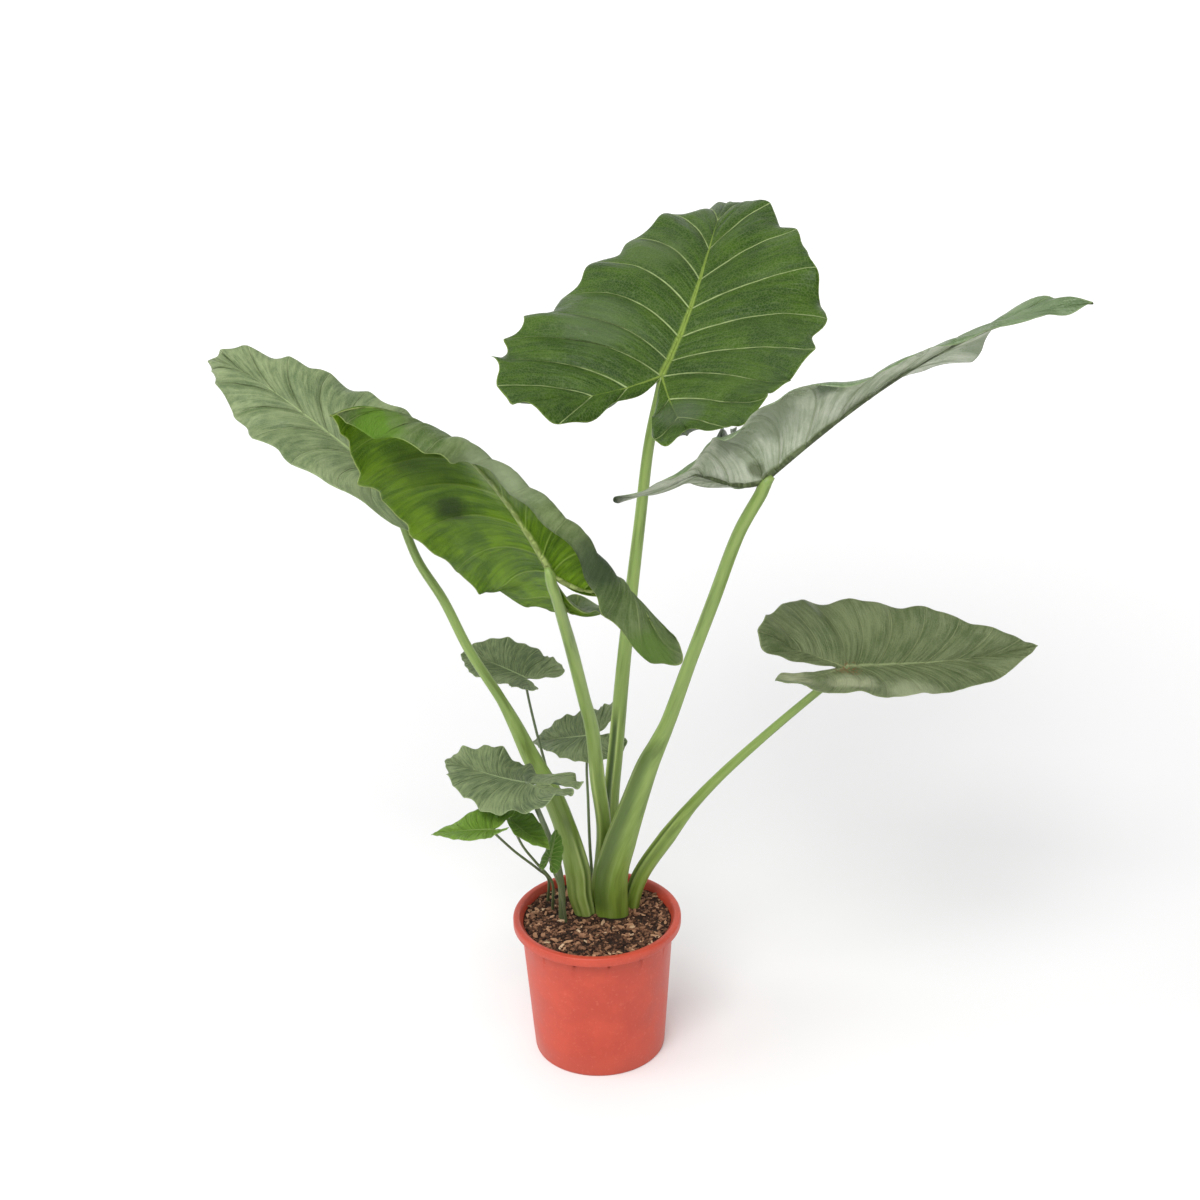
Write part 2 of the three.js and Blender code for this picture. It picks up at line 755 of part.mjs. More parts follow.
// Pot: one thin wall with a turned-over lip, drain holes in the floor and shallow recesses
// round the neck.
function potSolid() {
  const lipUnderside = POT.height - POT.lipHeight;
  const skirtTop = POT.height - 2 * POT.wall;
  const profile = [
    [0, 0],
    [POT.baseRadius - 3, 0],
    [POT.baseRadius - 0.8, 0.8],
    [POT.baseRadius, 3],
    [POT.neckRadius, lipUnderside],
    [POT.neckRadius + 0.5, skirtTop],
    [POT.lipRadius - POT.wall, skirtTop],
    [POT.lipRadius - POT.wall, lipUnderside],
    [POT.lipRadius, lipUnderside],
    [POT.lipRadius, POT.height - 2 * POT.lipRound],
    [POT.lipRadius - 0.4 * POT.lipRound, POT.height - 0.6 * POT.lipRound],
    [POT.lipRadius - 2 * POT.lipRound, POT.height],
    [POT.mouthRadius + POT.lipRound, POT.height],
    [POT.mouthRadius, POT.height - POT.lipRound],
    [POT.neckRadius - POT.wall, skirtTop - POT.lipRound],
    [POT.baseRadius - POT.wall, POT.floor],
    [0, POT.floor],
  ];
  const turned = new THREE.LatheGeometry(profile.map(([r, z]) => new THREE.Vector2(r, z)), POT.sides);
  let pot = toManifold(turned.rotateX(Math.PI / 2));
  for (let i = 0; i < POT.notchCount; i += 1) {
    const turn = radians(POT.notchTurn) + (2 * Math.PI * i) / POT.notchCount;
    const notch = new THREE.BoxGeometry(POT.notchWidth, 2 * POT.notchDepth, POT.notchHeight);
    notch.translate(0, -POT.neckRadius, lipUnderside - POT.notchHeight / 2);
    pot = pot.subtract(toManifold(notch.rotateZ(turn)));
  }
  for (let i = 0; i < POT.drainCount; i += 1) {
    const turn = (2 * Math.PI * i) / POT.drainCount;
    const drain = new THREE.CylinderGeometry(POT.drainRadius, POT.drainRadius, 4 * POT.floor, 8);
    drain.rotateX(Math.PI / 2).translate(POT.drainCircle, 0, 0).rotateZ(turn);
    pot = pot.subtract(toManifold(drain));
  }
  return pot;
}

// Soil: fills the pot to a little under the rim, with a rough top that rises at the stalks.
function soilSolid() {
  const inside = (z) => between(
    [POT.floor, POT.height - 2 * POT.wall - POT.lipRound],
    [POT.baseRadius - POT.wall, POT.neckRadius - POT.wall],
    z,
  ) - FACE_GAP;
  const points = [new THREE.Vector3(0, 0, SOIL.level + SOIL.mound)];
  const ringAt = (radius, height) => {
    for (let i = 0; i < SOIL.sides; i += 1) {
      const turn = (2 * Math.PI * i) / SOIL.sides;
      const x = radius * Math.cos(turn);
      const y = radius * Math.sin(turn);
      points.push(new THREE.Vector3(x, y, height(x, y)));
    }
  };
  const top = inside(SOIL.level);
  for (let ring = 1; ring <= SOIL.rings; ring += 1) {
    const radius = (top * ring) / SOIL.rings;
    const mound = SOIL.mound * Math.cos((Math.PI / 2) * (radius / top));
    const onTop = ring < SOIL.rings ? SOIL.roughness : 0;
    ringAt(radius, (x, y) => SOIL.level + mound + onTop * roughness(x, y));
  }
  const bottom = POT.floor + FACE_GAP;
  ringAt(inside(bottom), () => bottom);
  points.push(new THREE.Vector3(0, 0, bottom));
  const index = [];
  const rings = SOIL.rings + 1;
  for (let i = 0; i < SOIL.sides; i += 1) {
    const next = (i + 1) % SOIL.sides;
    index.push(0, 1 + i, 1 + next);
    for (let ring = 0; ring < rings - 1; ring += 1) {
      const a = 1 + ring * SOIL.sides;
      const b = a + SOIL.sides;
      index.push(a + i, b + i, b + next, a + i, b + next, a + next);
    }
    const last = 1 + (rings - 1) * SOIL.sides;
    index.push(points.length - 1, last + next, last + i);
  }
  return toManifold(closedGeometry(points, index));
}

// Three crossing waves of different lengths, between -1 and 1.
function roughness(x, y) {
  return (Math.sin(0.21 * x + 1.1) + Math.sin(0.17 * y - 0.13 * x) + Math.sin(0.29 * y + 2)) / 3;
}

// The largest piece that a cut leaves.
function largestPiece(manifold) {
  const pieces = manifold.decompose();
  pieces.sort((a, b) => b.volume() - a.volume());
  return pieces[0];
}

const COLOURS = {
  pot: { color: 0xc8523c, roughness: 0.45 },
  soil: { color: 0x3d291d, roughness: 0.95 },
  blade: { color: 0x4f8a34, roughness: 0.45 },
  youngBlade: { color: 0x7fb53c, roughness: 0.45 },
  stalk: { color: 0x86a94e, roughness: 0.5 },
};

const plant = new THREE.Group();
plant.name = 'potted_alocasia';

function addPart(name, geometry, look) {
  const mesh = new THREE.Mesh(geometry, new THREE.MeshStandardMaterial({ ...look, metalness: 0 }));
  mesh.name = name;
  plant.add(mesh);
}

addPart('pot', toGeometry(potSolid()), COLOURS.pot);

let soil = soilSolid();
LEAVES.forEach((leaf) => {
  const around = toManifold(stalkSolid(leaf, FACE_GAP));
  const blade = largestPiece(toManifold(bladeSolid(leaf)).subtract(around));
  soil = soil.subtract(around);
  const look = leaf.name.startsWith('young') ? COLOURS.youngBlade : COLOURS.blade;
  addPart(`blade_${leaf.name}`, toGeometry(blade), look);
  addPart(`stalk_${leaf.name}`, stalkSolid(leaf), COLOURS.stalk);
});
addPart('soil', toGeometry(largestPiece(soil)), COLOURS.soil);

export default plant;
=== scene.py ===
"""Potted alocasia portodora in a terracotta-red nursery pot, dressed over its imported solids.

Metres, +Z up. The origin is the middle of the pot's underside; +X is right, +Y is away.
"""
import math
import random

import bmesh
import bpy
from mathutils import Matrix, Vector, noise


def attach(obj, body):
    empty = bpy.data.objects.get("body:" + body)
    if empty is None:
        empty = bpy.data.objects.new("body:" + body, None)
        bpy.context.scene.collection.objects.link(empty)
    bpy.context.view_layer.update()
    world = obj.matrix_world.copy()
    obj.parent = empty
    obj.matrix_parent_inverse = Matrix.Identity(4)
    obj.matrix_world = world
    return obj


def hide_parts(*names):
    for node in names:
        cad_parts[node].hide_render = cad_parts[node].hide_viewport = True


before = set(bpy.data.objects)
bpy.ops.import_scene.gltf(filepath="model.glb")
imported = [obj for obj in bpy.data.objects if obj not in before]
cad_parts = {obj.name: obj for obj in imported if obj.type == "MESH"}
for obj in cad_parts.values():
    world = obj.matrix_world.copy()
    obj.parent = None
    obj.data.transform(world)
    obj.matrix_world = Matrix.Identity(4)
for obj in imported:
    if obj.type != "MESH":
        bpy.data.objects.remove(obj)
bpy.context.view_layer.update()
MM = 0.001

# Camera
# At eye height, a little over two metres off, looking down at the plant, and tilted slightly.
CAMERA_PLACE = (0.0131, -2.357, 1.659)
CAMERA_DOWN = 23.89
CAMERA_ROLL = -1.37
CAMERA_LENS = 66.0
CAMERA_SENSOR = 36.0
CAMERA_NEAR = 0.05
CAMERA_FAR = 60.0

camera_data = bpy.data.cameras.new("camera")
camera_data.lens = CAMERA_LENS
camera_data.sensor_width = CAMERA_SENSOR
camera_data.clip_start = CAMERA_NEAR
camera_data.clip_end = CAMERA_FAR
camera = bpy.data.objects.new("camera", camera_data)
bpy.context.scene.collection.objects.link(camera)
camera.matrix_world = (
    Matrix.Translation(CAMERA_PLACE)
    @ Matrix.Rotation(math.radians(90 - CAMERA_DOWN), 4, "X")
    @ Matrix.Rotation(math.radians(CAMERA_ROLL), 4, "Z")
)
bpy.context.scene.camera = camera

# Floor and light
# A white studio sweep: a flat paper floor that curves up into the wall far behind, and glows a
# little where the lamps don't reach. One large soft lamp stands at the left, one in front.
FLOOR_HALF = 9.0
SWEEP_LENGTH = 20.0
FLAT_LENGTH = 14.0
BEND_LENGTH = 3.14
BEND_RADIUS = 2.0
GLOW_NEAR = 0.8
GLOW_FAR = 3.5
NEAR_GLOW = 0.02
BACK_GLOW = 0.36
PAPER_WHITE = (0.91, 0.91, 0.91, 1)
WHITE = (1, 1, 1, 1)
WORLD_LIGHT = 0.7


def new_object(name, bm, smooth=True):
    """Turns a bmesh into a linked object whose place is in its mesh."""
    mesh = bpy.data.meshes.new(name)
    for face in bm.faces:
        face.smooth = smooth
    bm.to_mesh(mesh)
    bm.free()
    obj = bpy.data.objects.new(name, mesh)
    bpy.context.scene.collection.objects.link(obj)
    return obj


def new_material(name):
    """A material whose node tree holds only a Principled BSDF and the output."""
    material = bpy.data.materials.new(name)
    material.use_nodes = True
    tree = material.node_tree
    return material, tree, tree.nodes["Principled BSDF"]


def node(tree, kind, sources=None, **values):
    """Adds a node: values sets its own properties, sources feeds its inputs."""
    made = tree.nodes.new(kind)
    for name, value in values.items():
        setattr(made, name, value)
    for place, source in (sources or {}).items():
        feed(tree, made.inputs[place], source)
    return made


def feed(tree, socket, source):
    """Joins a socket to an output, or sets it to a plain value."""
    if isinstance(source, bpy.types.NodeSocket):
        tree.links.new(source, socket)
    else:
        socket.default_value = source


def maths(tree, operation, *sources):
    return node(tree, "ShaderNodeMath", dict(enumerate(sources)), operation=operation).outputs[0]


def ramp(tree, source, low, high, to_low=0.0, to_high=1.0):
    """Maps a value smoothly from low..high to to_low..to_high."""
    sources = dict(enumerate((source, low, high, to_low, to_high)))
    return node(tree, "ShaderNodeMapRange", sources, interpolation_type="SMOOTHSTEP").outputs[0]


def times(tree, first, second):
    return maths(tree, "MULTIPLY", first, second)


def object_place(tree):
    return node(tree, "ShaderNodeTexCoord").outputs["Object"]


bm = bmesh.new()
bmesh.ops.create_grid(bm, x_segments=1, y_segments=40, size=1.0)
for vert in bm.verts:
    run = (vert.co.y + 1) * SWEEP_LENGTH / 2
    past = max(0.0, run - FLAT_LENGTH)
    turn = min(past, BEND_LENGTH) / BEND_RADIUS
    vert.co.x *= FLOOR_HALF
    vert.co.y = -FLOOR_HALF + min(run, FLAT_LENGTH) + BEND_RADIUS * math.sin(turn)
    vert.co.z = BEND_RADIUS * (1 - math.cos(turn)) + max(0.0, past - BEND_LENGTH)
floor = new_object("floor", bm)
floor_material, tree, shader = new_material("floor_paper")
shader.inputs["Base Color"].default_value = PAPER_WHITE
shader.inputs["Roughness"].default_value = 0.9
shader.inputs["Specular IOR Level"].default_value = 0.1
shader.inputs["Emission Color"].default_value = WHITE
distance = node(tree, "ShaderNodeVectorMath", {0: object_place(tree)}, operation="LENGTH")
glow = ramp(tree, distance.outputs["Value"], GLOW_NEAR, GLOW_FAR, NEAR_GLOW, BACK_GLOW)
feed(tree, shader.inputs["Emission Strength"], glow)
floor.data.materials.append(floor_material)

world = bpy.data.worlds.new("studio")
bpy.context.scene.world = world
bpy.context.scene.view_settings.view_transform = "Standard"
world.use_nodes = True
background = world.node_tree.nodes["Background"]
background.inputs["Color"].default_value = WHITE
background.inputs["Strength"].default_value = WORLD_LIGHT


def soft_lamp(name, place, aim, size, power):
    """A square lamp with a soft edge to its shadows."""
    data = bpy.data.lights.new(name, "AREA")
    data.shape = "SQUARE"
    data.size = size
    data.energy = power
    lamp = bpy.data.objects.new(name, data)
    lamp.location = place
    lamp.rotation_euler = (Vector(aim) - Vector(place)).to_track_quat("-Z", "Y").to_euler()
    bpy.context.scene.collection.objects.link(lamp)


soft_lamp("window_lamp", place=(-2.5, -0.4, 2.6), aim=(0, 0, 0.7), size=1.8, power=26)
soft_lamp("front_lamp", place=(-0.7, -2.0, 3.3), aim=(0, 0, 0.4), size=1.6, power=72)

# Pot
# A thin-walled nursery pot, injection moulded in terracotta-red plastic: one tapered wall, a
# rolled lip with a skirt, and small upright recesses moulded in the wall under the lip.
POT_HEIGHT = 187 * MM
POT_BASE = 82.5 * MM
POT_NECK = 95 * MM
POT_LIP = 105 * MM
LIP_SKIRT = 11 * MM
LIP_ROUND = 3 * MM
POT_FOOT = 3 * MM
POT_WALL = 2 * MM
POT_MOUTH = 96.5 * MM
POT_FLOOR = 3 * MM
POT_RED = (0.50, 0.052, 0.024, 1)
POT_LIGHT_RED = (0.58, 0.068, 0.032, 1)
POT_LOW_RED = (0.50, 0.07, 0.035, 1)
POT_DUST = (0.72, 0.2, 0.13, 1)
NOTCHES = 14
NOTCH_TURN = 8.0
NOTCH_WIDTH = 3 * MM
NOTCH_HEIGHT = 9 * MM
NOTCH_DEPTH = 1.2 * MM
SECTOR_STEPS = 11


def mix_colour(tree, share, first, second, blend="MIX"):
    sources = {0: share, 6: first, 7: second}
    return node(tree, "ShaderNodeMix", sources, data_type="RGBA", blend_type=blend).outputs[2]


def speckle(tree, where, scale, detail=2.0, roughness=0.5, stretch=None):
    """Fractal noise between 0 and 1 on the given coordinates."""
    if stretch is not None:
        where = node(tree, "ShaderNodeMapping", {"Vector": where, "Scale": stretch}).outputs[0]
    sources = {"Vector": where, "Scale": scale, "Detail": detail, "Roughness": roughness}
    return node(tree, "ShaderNodeTexNoise", sources).outputs["Fac"]


def bump(tree, height, strength, distance):
    sources = {"Height": height, "Strength": strength, "Distance": distance}
    return node(tree, "ShaderNodeBump", sources).outputs[0]


def dress(tree, shader, colour, roughness, normal):
    feed(tree, shader.inputs["Base Color"], colour)
    feed(tree, shader.inputs["Roughness"], roughness)
    feed(tree, shader.inputs["Normal"], normal)


def pot_profile():
    """The wall's section from the middle of the underside round the lip to the inner floor."""
    under_lip = POT_HEIGHT - LIP_SKIRT
    skirt_top = POT_HEIGHT - 2 * POT_WALL

    def wall_at(z):
        return POT_BASE + (POT_NECK - POT_BASE) * z / under_lip

    rows = [(0, POT_FOOT), (POT_BASE * 0.55, POT_FOOT), (POT_BASE - 9 * MM, 2.4 * MM)]
    rows += [(POT_BASE - 6 * MM, 0), (POT_BASE - 2 * MM, 0), (POT_BASE - 0.6 * MM, 0.7 * MM)]
    rows += [(POT_BASE, POT_FOOT)]
    rows += [(wall_at(z * MM), z * MM) for z in (30, 60, 90, 120, 148)]
    rows += [(wall_at(under_lip - NOTCH_HEIGHT), under_lip - NOTCH_HEIGHT)]
    rows += [(POT_NECK, under_lip), (POT_NECK + 0.5 * MM, skirt_top)]
    rows += [(POT_LIP - POT_WALL, skirt_top), (POT_LIP - POT_WALL, under_lip + 0.4 * MM)]
    rows += [(POT_LIP - 0.7 * POT_WALL, under_lip), (POT_LIP - 0.3 * MM, under_lip)]
    rows += [(POT_LIP, under_lip + 0.5 * MM), (POT_LIP, POT_HEIGHT - LIP_ROUND)]
    for turn in (22, 45, 68):
        around = math.radians(turn)
        rows.append((
            POT_LIP - LIP_ROUND * (1 - math.cos(around)),
            POT_HEIGHT - LIP_ROUND * (1 - math.sin(around)),
        ))
    rows += [(POT_LIP - LIP_ROUND, POT_HEIGHT), (POT_MOUTH + 1.6 * MM, POT_HEIGHT)]
    rows += [(POT_MOUTH + 0.5 * MM, POT_HEIGHT - 0.5 * MM), (POT_MOUTH, POT_HEIGHT - 1.6 * MM)]
    rows += [(POT_NECK - POT_WALL, skirt_top - 1.5 * MM), (POT_BASE - POT_WALL, POT_FLOOR)]
    rows += [(0, POT_FLOOR + 1 * MM)]
    return rows


bm = bmesh.new()
profile = [bm.verts.new((0, -radius, height)) for radius, height in pot_profile()]
profile_edges = [bm.edges.new(pair) for pair in zip(profile, profile[1:])]
pitch = 2 * math.pi / NOTCHES
notch_turn = NOTCH_WIDTH / POT_NECK
narrow = bmesh.ops.spin(
    bm, geom=profile + profile_edges, cent=(0, 0, 0), axis=(0, 0, 1), angle=notch_turn, steps=1,
)
notch_top = POT_HEIGHT - LIP_SKIRT
recess = []
for face in bm.faces:
    middle = face.calc_center_median()
    from_neck = math.hypot(*middle.xy) - POT_NECK
    if notch_top - NOTCH_HEIGHT < middle.z < notch_top and -1.5 * MM < from_neck < 1 * MM:
        recess.append(face)
bmesh.ops.spin(
    bm, geom=narrow["geom_last"], cent=(0, 0, 0), axis=(0, 0, 1), angle=pitch - notch_turn,
    steps=SECTOR_STEPS,
)
pushed = bmesh.ops.extrude_face_region(bm, geom=recess)
bmesh.ops.delete(bm, geom=recess, context="FACES_ONLY")
inward = [vert for vert in pushed["geom"] if isinstance(vert, bmesh.types.BMVert)]
bmesh.ops.translate(bm, verts=inward, vec=(0, NOTCH_DEPTH, 0))
bmesh.ops.spin(
    bm, geom=bm.verts[:] + bm.edges[:] + bm.faces[:], cent=(0, 0, 0), axis=(0, 0, 1),
    angle=2 * math.pi, steps=NOTCHES, use_duplicate=True,
)
bmesh.ops.remove_doubles(bm, verts=bm.verts[:], dist=0.02 * MM)
bmesh.ops.rotate(
    bm, verts=bm.verts[:], cent=(0, 0, 0),
    matrix=Matrix.Rotation(math.radians(NOTCH_TURN) - notch_turn / 2, 3, "Z"),
)
bmesh.ops.recalc_face_normals(bm, faces=bm.faces[:])
pot = new_object("nursery_pot", bm)

pot_material, tree, shader = new_material("pot_plastic")
place = object_place(tree)
height = node(tree, "ShaderNodeSeparateXYZ", {0: place})
cloud = speckle(tree, place, 22, 4, 0.6)
dust = speckle(tree, place, 240, 3, 0.6)
body = mix_colour(tree, ramp(tree, cloud, 0.35, 0.7), POT_RED, POT_LIGHT_RED)
low_fade = ramp(tree, height.outputs["Z"], 0.0, 0.05, 0.55, 0.0)
body = mix_colour(tree, low_fade, body, POT_LOW_RED)
dusty = times(tree, ramp(tree, dust, 0.56, 0.72), 0.22)
body = mix_colour(tree, dusty, body, POT_DUST)
gloss = ramp(tree, cloud, 0.3, 0.7, 0.36, 0.5)
dress(tree, shader, body, gloss, bump(tree, dust, 0.12, 0.0006))
pot.data.materials.append(pot_material)
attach(pot, "root")
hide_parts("pot")

# Soil
# A loose potting mix of dark coir and peat with chipped bark, filled by hand to just under the
# rim. The surface is a lumpy bed, strewn with crumbs of peat and with dark and pale chips.
SOIL_LEVEL = 178 * MM
SOIL_MOUND = 3 * MM
SOIL_RADIUS = 92.4 * MM
SOIL_DEPTH = 30 * MM
SOIL_CLEAR = 1
BED_SINK = 0.6 * MM
STREWN_SHARE = 0.985
CRUMBS = 2600
CHIPS = 520
# The middle and the radius of each large leaf stalk's foot, in millimetres.
STEM_FEET = [(16, 50, 10), (19, 10, 20), (-2, 38, 9), (-15, 13, 13), (43, 27, 10), (-44, 4, 4)]


def soil_height(x, y):
    """The bed's height: a low mound, with lumps of a few millimetres."""
    share = min(1.0, math.hypot(x, y) / SOIL_RADIUS)
    mound = SOIL_MOUND * math.cos(math.pi / 2 * share)
    lumps = noise.noise(Vector((x * 38, y * 38, 3.1))) * 2.2 * MM
    lumps += noise.noise(Vector((x * 110, y * 110, 7.7))) * 1.3 * MM
    return SOIL_LEVEL - BED_SINK + mound + lumps


bm = bmesh.new()
bmesh.ops.create_grid(bm, x_segments=130, y_segments=130, size=1.0)
for vert in bm.verts:
    across, back = vert.co.xy
    vert.co.x = SOIL_RADIUS * across * math.sqrt(1 - back * back / 2)
    vert.co.y = SOIL_RADIUS * back * math.sqrt(1 - across * across / 2)
    vert.co.z = soil_height(vert.co.x, vert.co.y)
rim = [edge for edge in bm.edges if edge.is_boundary]
skirt = bmesh.ops.extrude_edge_only(bm, edges=rim)
for vert in skirt["geom"]:
    if isinstance(vert, bmesh.types.BMVert):
        vert.co.z = SOIL_LEVEL - SOIL_DEPTH
bmesh.ops.holes_fill(bm, edges=[edge for edge in bm.edges if edge.is_boundary], sides=0)
bmesh.ops.recalc_face_normals(bm, faces=bm.faces[:])
soil_bed = new_object("soil_bed", bm)


def clear_spot(rng):
    """A place on the bed that isn't inside a leaf stalk."""
    while True:
        radius = SOIL_RADIUS * STREWN_SHARE * math.sqrt(rng.random())
        turn = rng.uniform(0, 2 * math.pi)
        x, y = radius * math.cos(turn), radius * math.sin(turn)
        if all(
            math.hypot(x - a * MM, y - b * MM) > (r + SOIL_CLEAR) * MM for a, b, r in STEM_FEET
        ):
            return x, y


def strew(name, make, kinds, count, sizes, sink, tones, rng):
    """Lays copies of a few lumps over the bed, each with its own size, turn and tone."""
    moulds = []
    for _ in range(kinds):
        bm = bmesh.new()
        make(bm, rng)
        mould = bpy.data.meshes.new("lump")
        bm.to_mesh(mould)
        bm.free()
        mould.attributes.new("tone", "FLOAT", "POINT")
        moulds.append(mould)
    bm = bmesh.new()
    for _ in range(count):
        x, y = clear_spot(rng)
        length = rng.uniform(*sizes) * rng.uniform(0.6, 1.0) * MM
        spot = Matrix.Translation((x, y, soil_height(x, y) + length * sink))
        spot = spot @ Matrix.Rotation(rng.uniform(0, 2 * math.pi), 4, "Z")
        spot = spot @ Matrix.Rotation(rng.gauss(0, 0.35), 4, rng.choice("XY"))
        lump = rng.choice(moulds).copy()
        lump.transform(spot @ Matrix.Diagonal((length, length, length, 1)))
        tone = rng.choice(tones) * rng.uniform(0.75, 1.2)
        lump.attributes["tone"].data.foreach_set("value", [tone] * len(lump.vertices))
        bm.from_mesh(lump)
        bpy.data.meshes.remove(lump)
    for mould in moulds:
        bpy.data.meshes.remove(mould)
    return new_object(name, bm, smooth=False)


def crumb(bm, rng):
    """A rounded clod of peat, one unit long."""
    bmesh.ops.create_icosphere(bm, subdivisions=1, radius=0.5)
    for vert in bm.verts:
        vert.co *= rng.uniform(0.7, 1.15)
        vert.co.z *= 0.75


def chip(bm, rng):
    """A flat splintered piece of bark with broken ends, one unit long."""
    bmesh.ops.create_cube(bm, size=1)
    bmesh.ops.subdivide_edges(bm, edges=bm.edges[:], cuts=1, use_grid_fill=True)
    width, thick = rng.uniform(0.28, 0.6), rng.uniform(0.1, 0.22)
    bend = rng.uniform(-0.3, 0.3)
    for vert in bm.verts:
        slim = 1 - 0.5 * (2 * abs(vert.co.x)) ** 3 * rng.uniform(0.4, 1)
        vert.co.y = vert.co.y * width * slim + rng.uniform(-0.06, 0.06)
        vert.co.z = vert.co.z * thick * slim + bend * vert.co.x ** 2
        vert.co.x += rng.uniform(-0.08, 0.08)


def attribute(tree, name, output="Fac"):
    return node(tree, "ShaderNodeAttribute", attribute_name=name).outputs[output]


rng = random.Random(4)
soil_crumbs = strew(
    "soil_crumbs", crumb, kinds=14, count=CRUMBS, sizes=(2, 6), sink=0.1,
    tones=(0.05, 0.12, 0.2, 0.3), rng=rng,
)
bark_chips = strew(
    "bark_chips", chip, kinds=16, count=CHIPS, sizes=(3.5, 12), sink=0.14,
    tones=(0.25, 0.3, 0.36, 0.42, 0.5, 0.62, 0.9), rng=rng,
)

soil_material, tree, shader = new_material("potting_mix")
place = object_place(tree)
tone = attribute(tree, "tone")
fine = speckle(tree, place, 900, 4, 0.65)
cloud = speckle(tree, place, 60, 3, 0.6)
value = maths(tree, "ADD", tone, ramp(tree, fine, 0.3, 0.75, -0.07, 0.12))
value = maths(tree, "ADD", value, ramp(tree, cloud, 0.35, 0.65, -0.04, 0.05))
colours = node(tree, "ShaderNodeValToRGB")
stops = colours.color_ramp.elements
stops[0].position, stops[0].color = 0.0, (0.018, 0.009, 0.006, 1)
stops[1].position, stops[1].color = 1.0, (0.66, 0.46, 0.29, 1)
for position, colour in (
    (0.2, (0.11, 0.048, 0.026, 1)),
    (0.42, (0.36, 0.18, 0.10, 1)),
    (0.65, (0.50, 0.27, 0.15, 1)),
):
    stops.new(position).color = colour
feed(tree, colours.inputs[0], value)
gloss = ramp(tree, fine, 0.3, 0.7, 0.7, 0.95)
dress(tree, shader, colours.outputs[0], gloss, bump(tree, fine, 0.6, 0.0012))
shader.inputs["Specular IOR Level"].default_value = 0.3
for piece in (soil_bed, soil_crumbs, bark_chips):
    piece.data.materials.append(soil_material)
    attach(piece, "root")
    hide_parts("soil")

# Top leaf
# The tallest leaf, seen on its upper side: a leathery arrow-shaped blade with a stout midrib
# and about seven side veins a half, on a round fleshy stalk that is grooved at its sheath.

# One half of the flat leaf, in lengths of its front part. Each row is a main vein, from where it
# leaves the midrib or the lobe's rib to where it ends. Every half blade is this one, rolled or
# folded and bent with the leaf's own values.
VEINS = [
    ((0, 1), (0, 1)),
    ((0, 0.74), (0.065, 0.925)),
    ((0, 0.56), (0.155, 0.8)),
    ((0, 0.41), (0.255, 0.64)),
    ((0, 0.28), (0.345, 0.465)),
    ((0, 0.16), (0.415, 0.285)),
    ((0, 0.06), (0.46, 0.1)),
    ((0, 0), (0.475, -0.08)),
    ((0.07, -0.103), (0.45, -0.25)),
    ((0.14, -0.207), (0.375, -0.39)),
    ((0.21, -0.31), (0.26, -0.46)),
    ((0.14, -0.207), (0.145, -0.4)),
    ((0.07, -0.103), (0.07, -0.24)),
    ((0, 0), (0.012, -0.05)),
]
LAST_VEIN = 13
JUNCTION_VEIN = 7
LOBE_END_VEIN = 10
LOBE_RIB = 0.375
VEIN_BOW = 0.06
PUFF = 0.017
STREAK_LIFT = 0.006
DRIFT_LIFT = 0.013
TAIL_START = 0.8
SPREAD_REACH = 0.25
CURL_WIDTH = 0.45
FOLD_STATIONS = (-0.45, 0, 0.33, 0.67, 1)
CURL_STATIONS = (-0.45, 0.2, 1)
SPINE_STEP = 0.01
SPINE_AHEAD = 130
SPINE_BACK = 70
BEND_STEPS = 12
NEAR_RIB = (0, 0.3, 0.6, 0.85, 1.0, 1.5)
RIB_LIMIT = 0.35
RIB_END = 0.16
LOBE_RIB_SHARE = 0.45
VEIN_TAPER = 0.75
EDGE_TAPER = 4 * MM
# Stalks are laid out in millimetres, and the turns round them in degrees.
BURIED = 40
GROOVE_TOP_FADE = 30
GROOVE_FOOT_FADE = 15
LIP_PLACE = 1.35
LIP_WIDTH = 7
LEAF_BUMP = 0.9
LEAF_RELIEF = 0.0022
FINE = {
    "steps": (
        0, 0.01, 0.025, 0.05, 0.1, 0.17, 0.25, 0.34, 0.42, 0.46, 0.5,
        0.54, 0.58, 0.66, 0.75, 0.83, 0.9, 0.95, 0.975, 0.99,
    ),
    "rows": 30,
    "sheet": 0.9 * MM,
    "vein_ridge": 1.1 * MM,
    "vein_half": 1.5 * MM,
    "rib_half": 5.6 * MM,
    "around": 40,
    "step": 6.0,
}
SMALL = {
    "steps": (0, 0.03, 0.08, 0.2, 0.35, 0.5, 0.65, 0.8, 0.92, 0.97),
    "rows": 14,
    "sheet": 0.6 * MM,
    "vein_ridge": 0.5 * MM,
    "vein_half": 0.7 * MM,
    "rib_half": 1.8 * MM,
    "around": 16,
    "step": 8.0,
}


def clamp(value, low=0.0, high=1.0):
    return max(low, min(high, value))


def between(stations, values, at):
    """Straight-line value at a place along a run of stations."""
    i = 0
    while i < len(stations) - 2 and at > stations[i + 1]:
        i += 1
    share = clamp((at - stations[i]) / (stations[i + 1] - stations[i]))
    return values[i] + (values[i + 1] - values[i]) * share


def eased(stations, values, at):
    """The same with its corners rounded off."""
    near = (-0.09, -0.045, 0, 0.045, 0.09)
    return sum(between(stations, values, at + step) for step in near) / len(near)


def smooth_span(p1, p2, t1, t2, t):
    """A cubic from p1 to p2 that leaves along t1 and arrives along t2."""
    bend = -3 * p1 + 3 * p2 - 2 * t1 - t2
    return p1 + t1 * t + bend * t * t + (2 * p1 - 2 * p2 + t1 + t2) * t ** 3


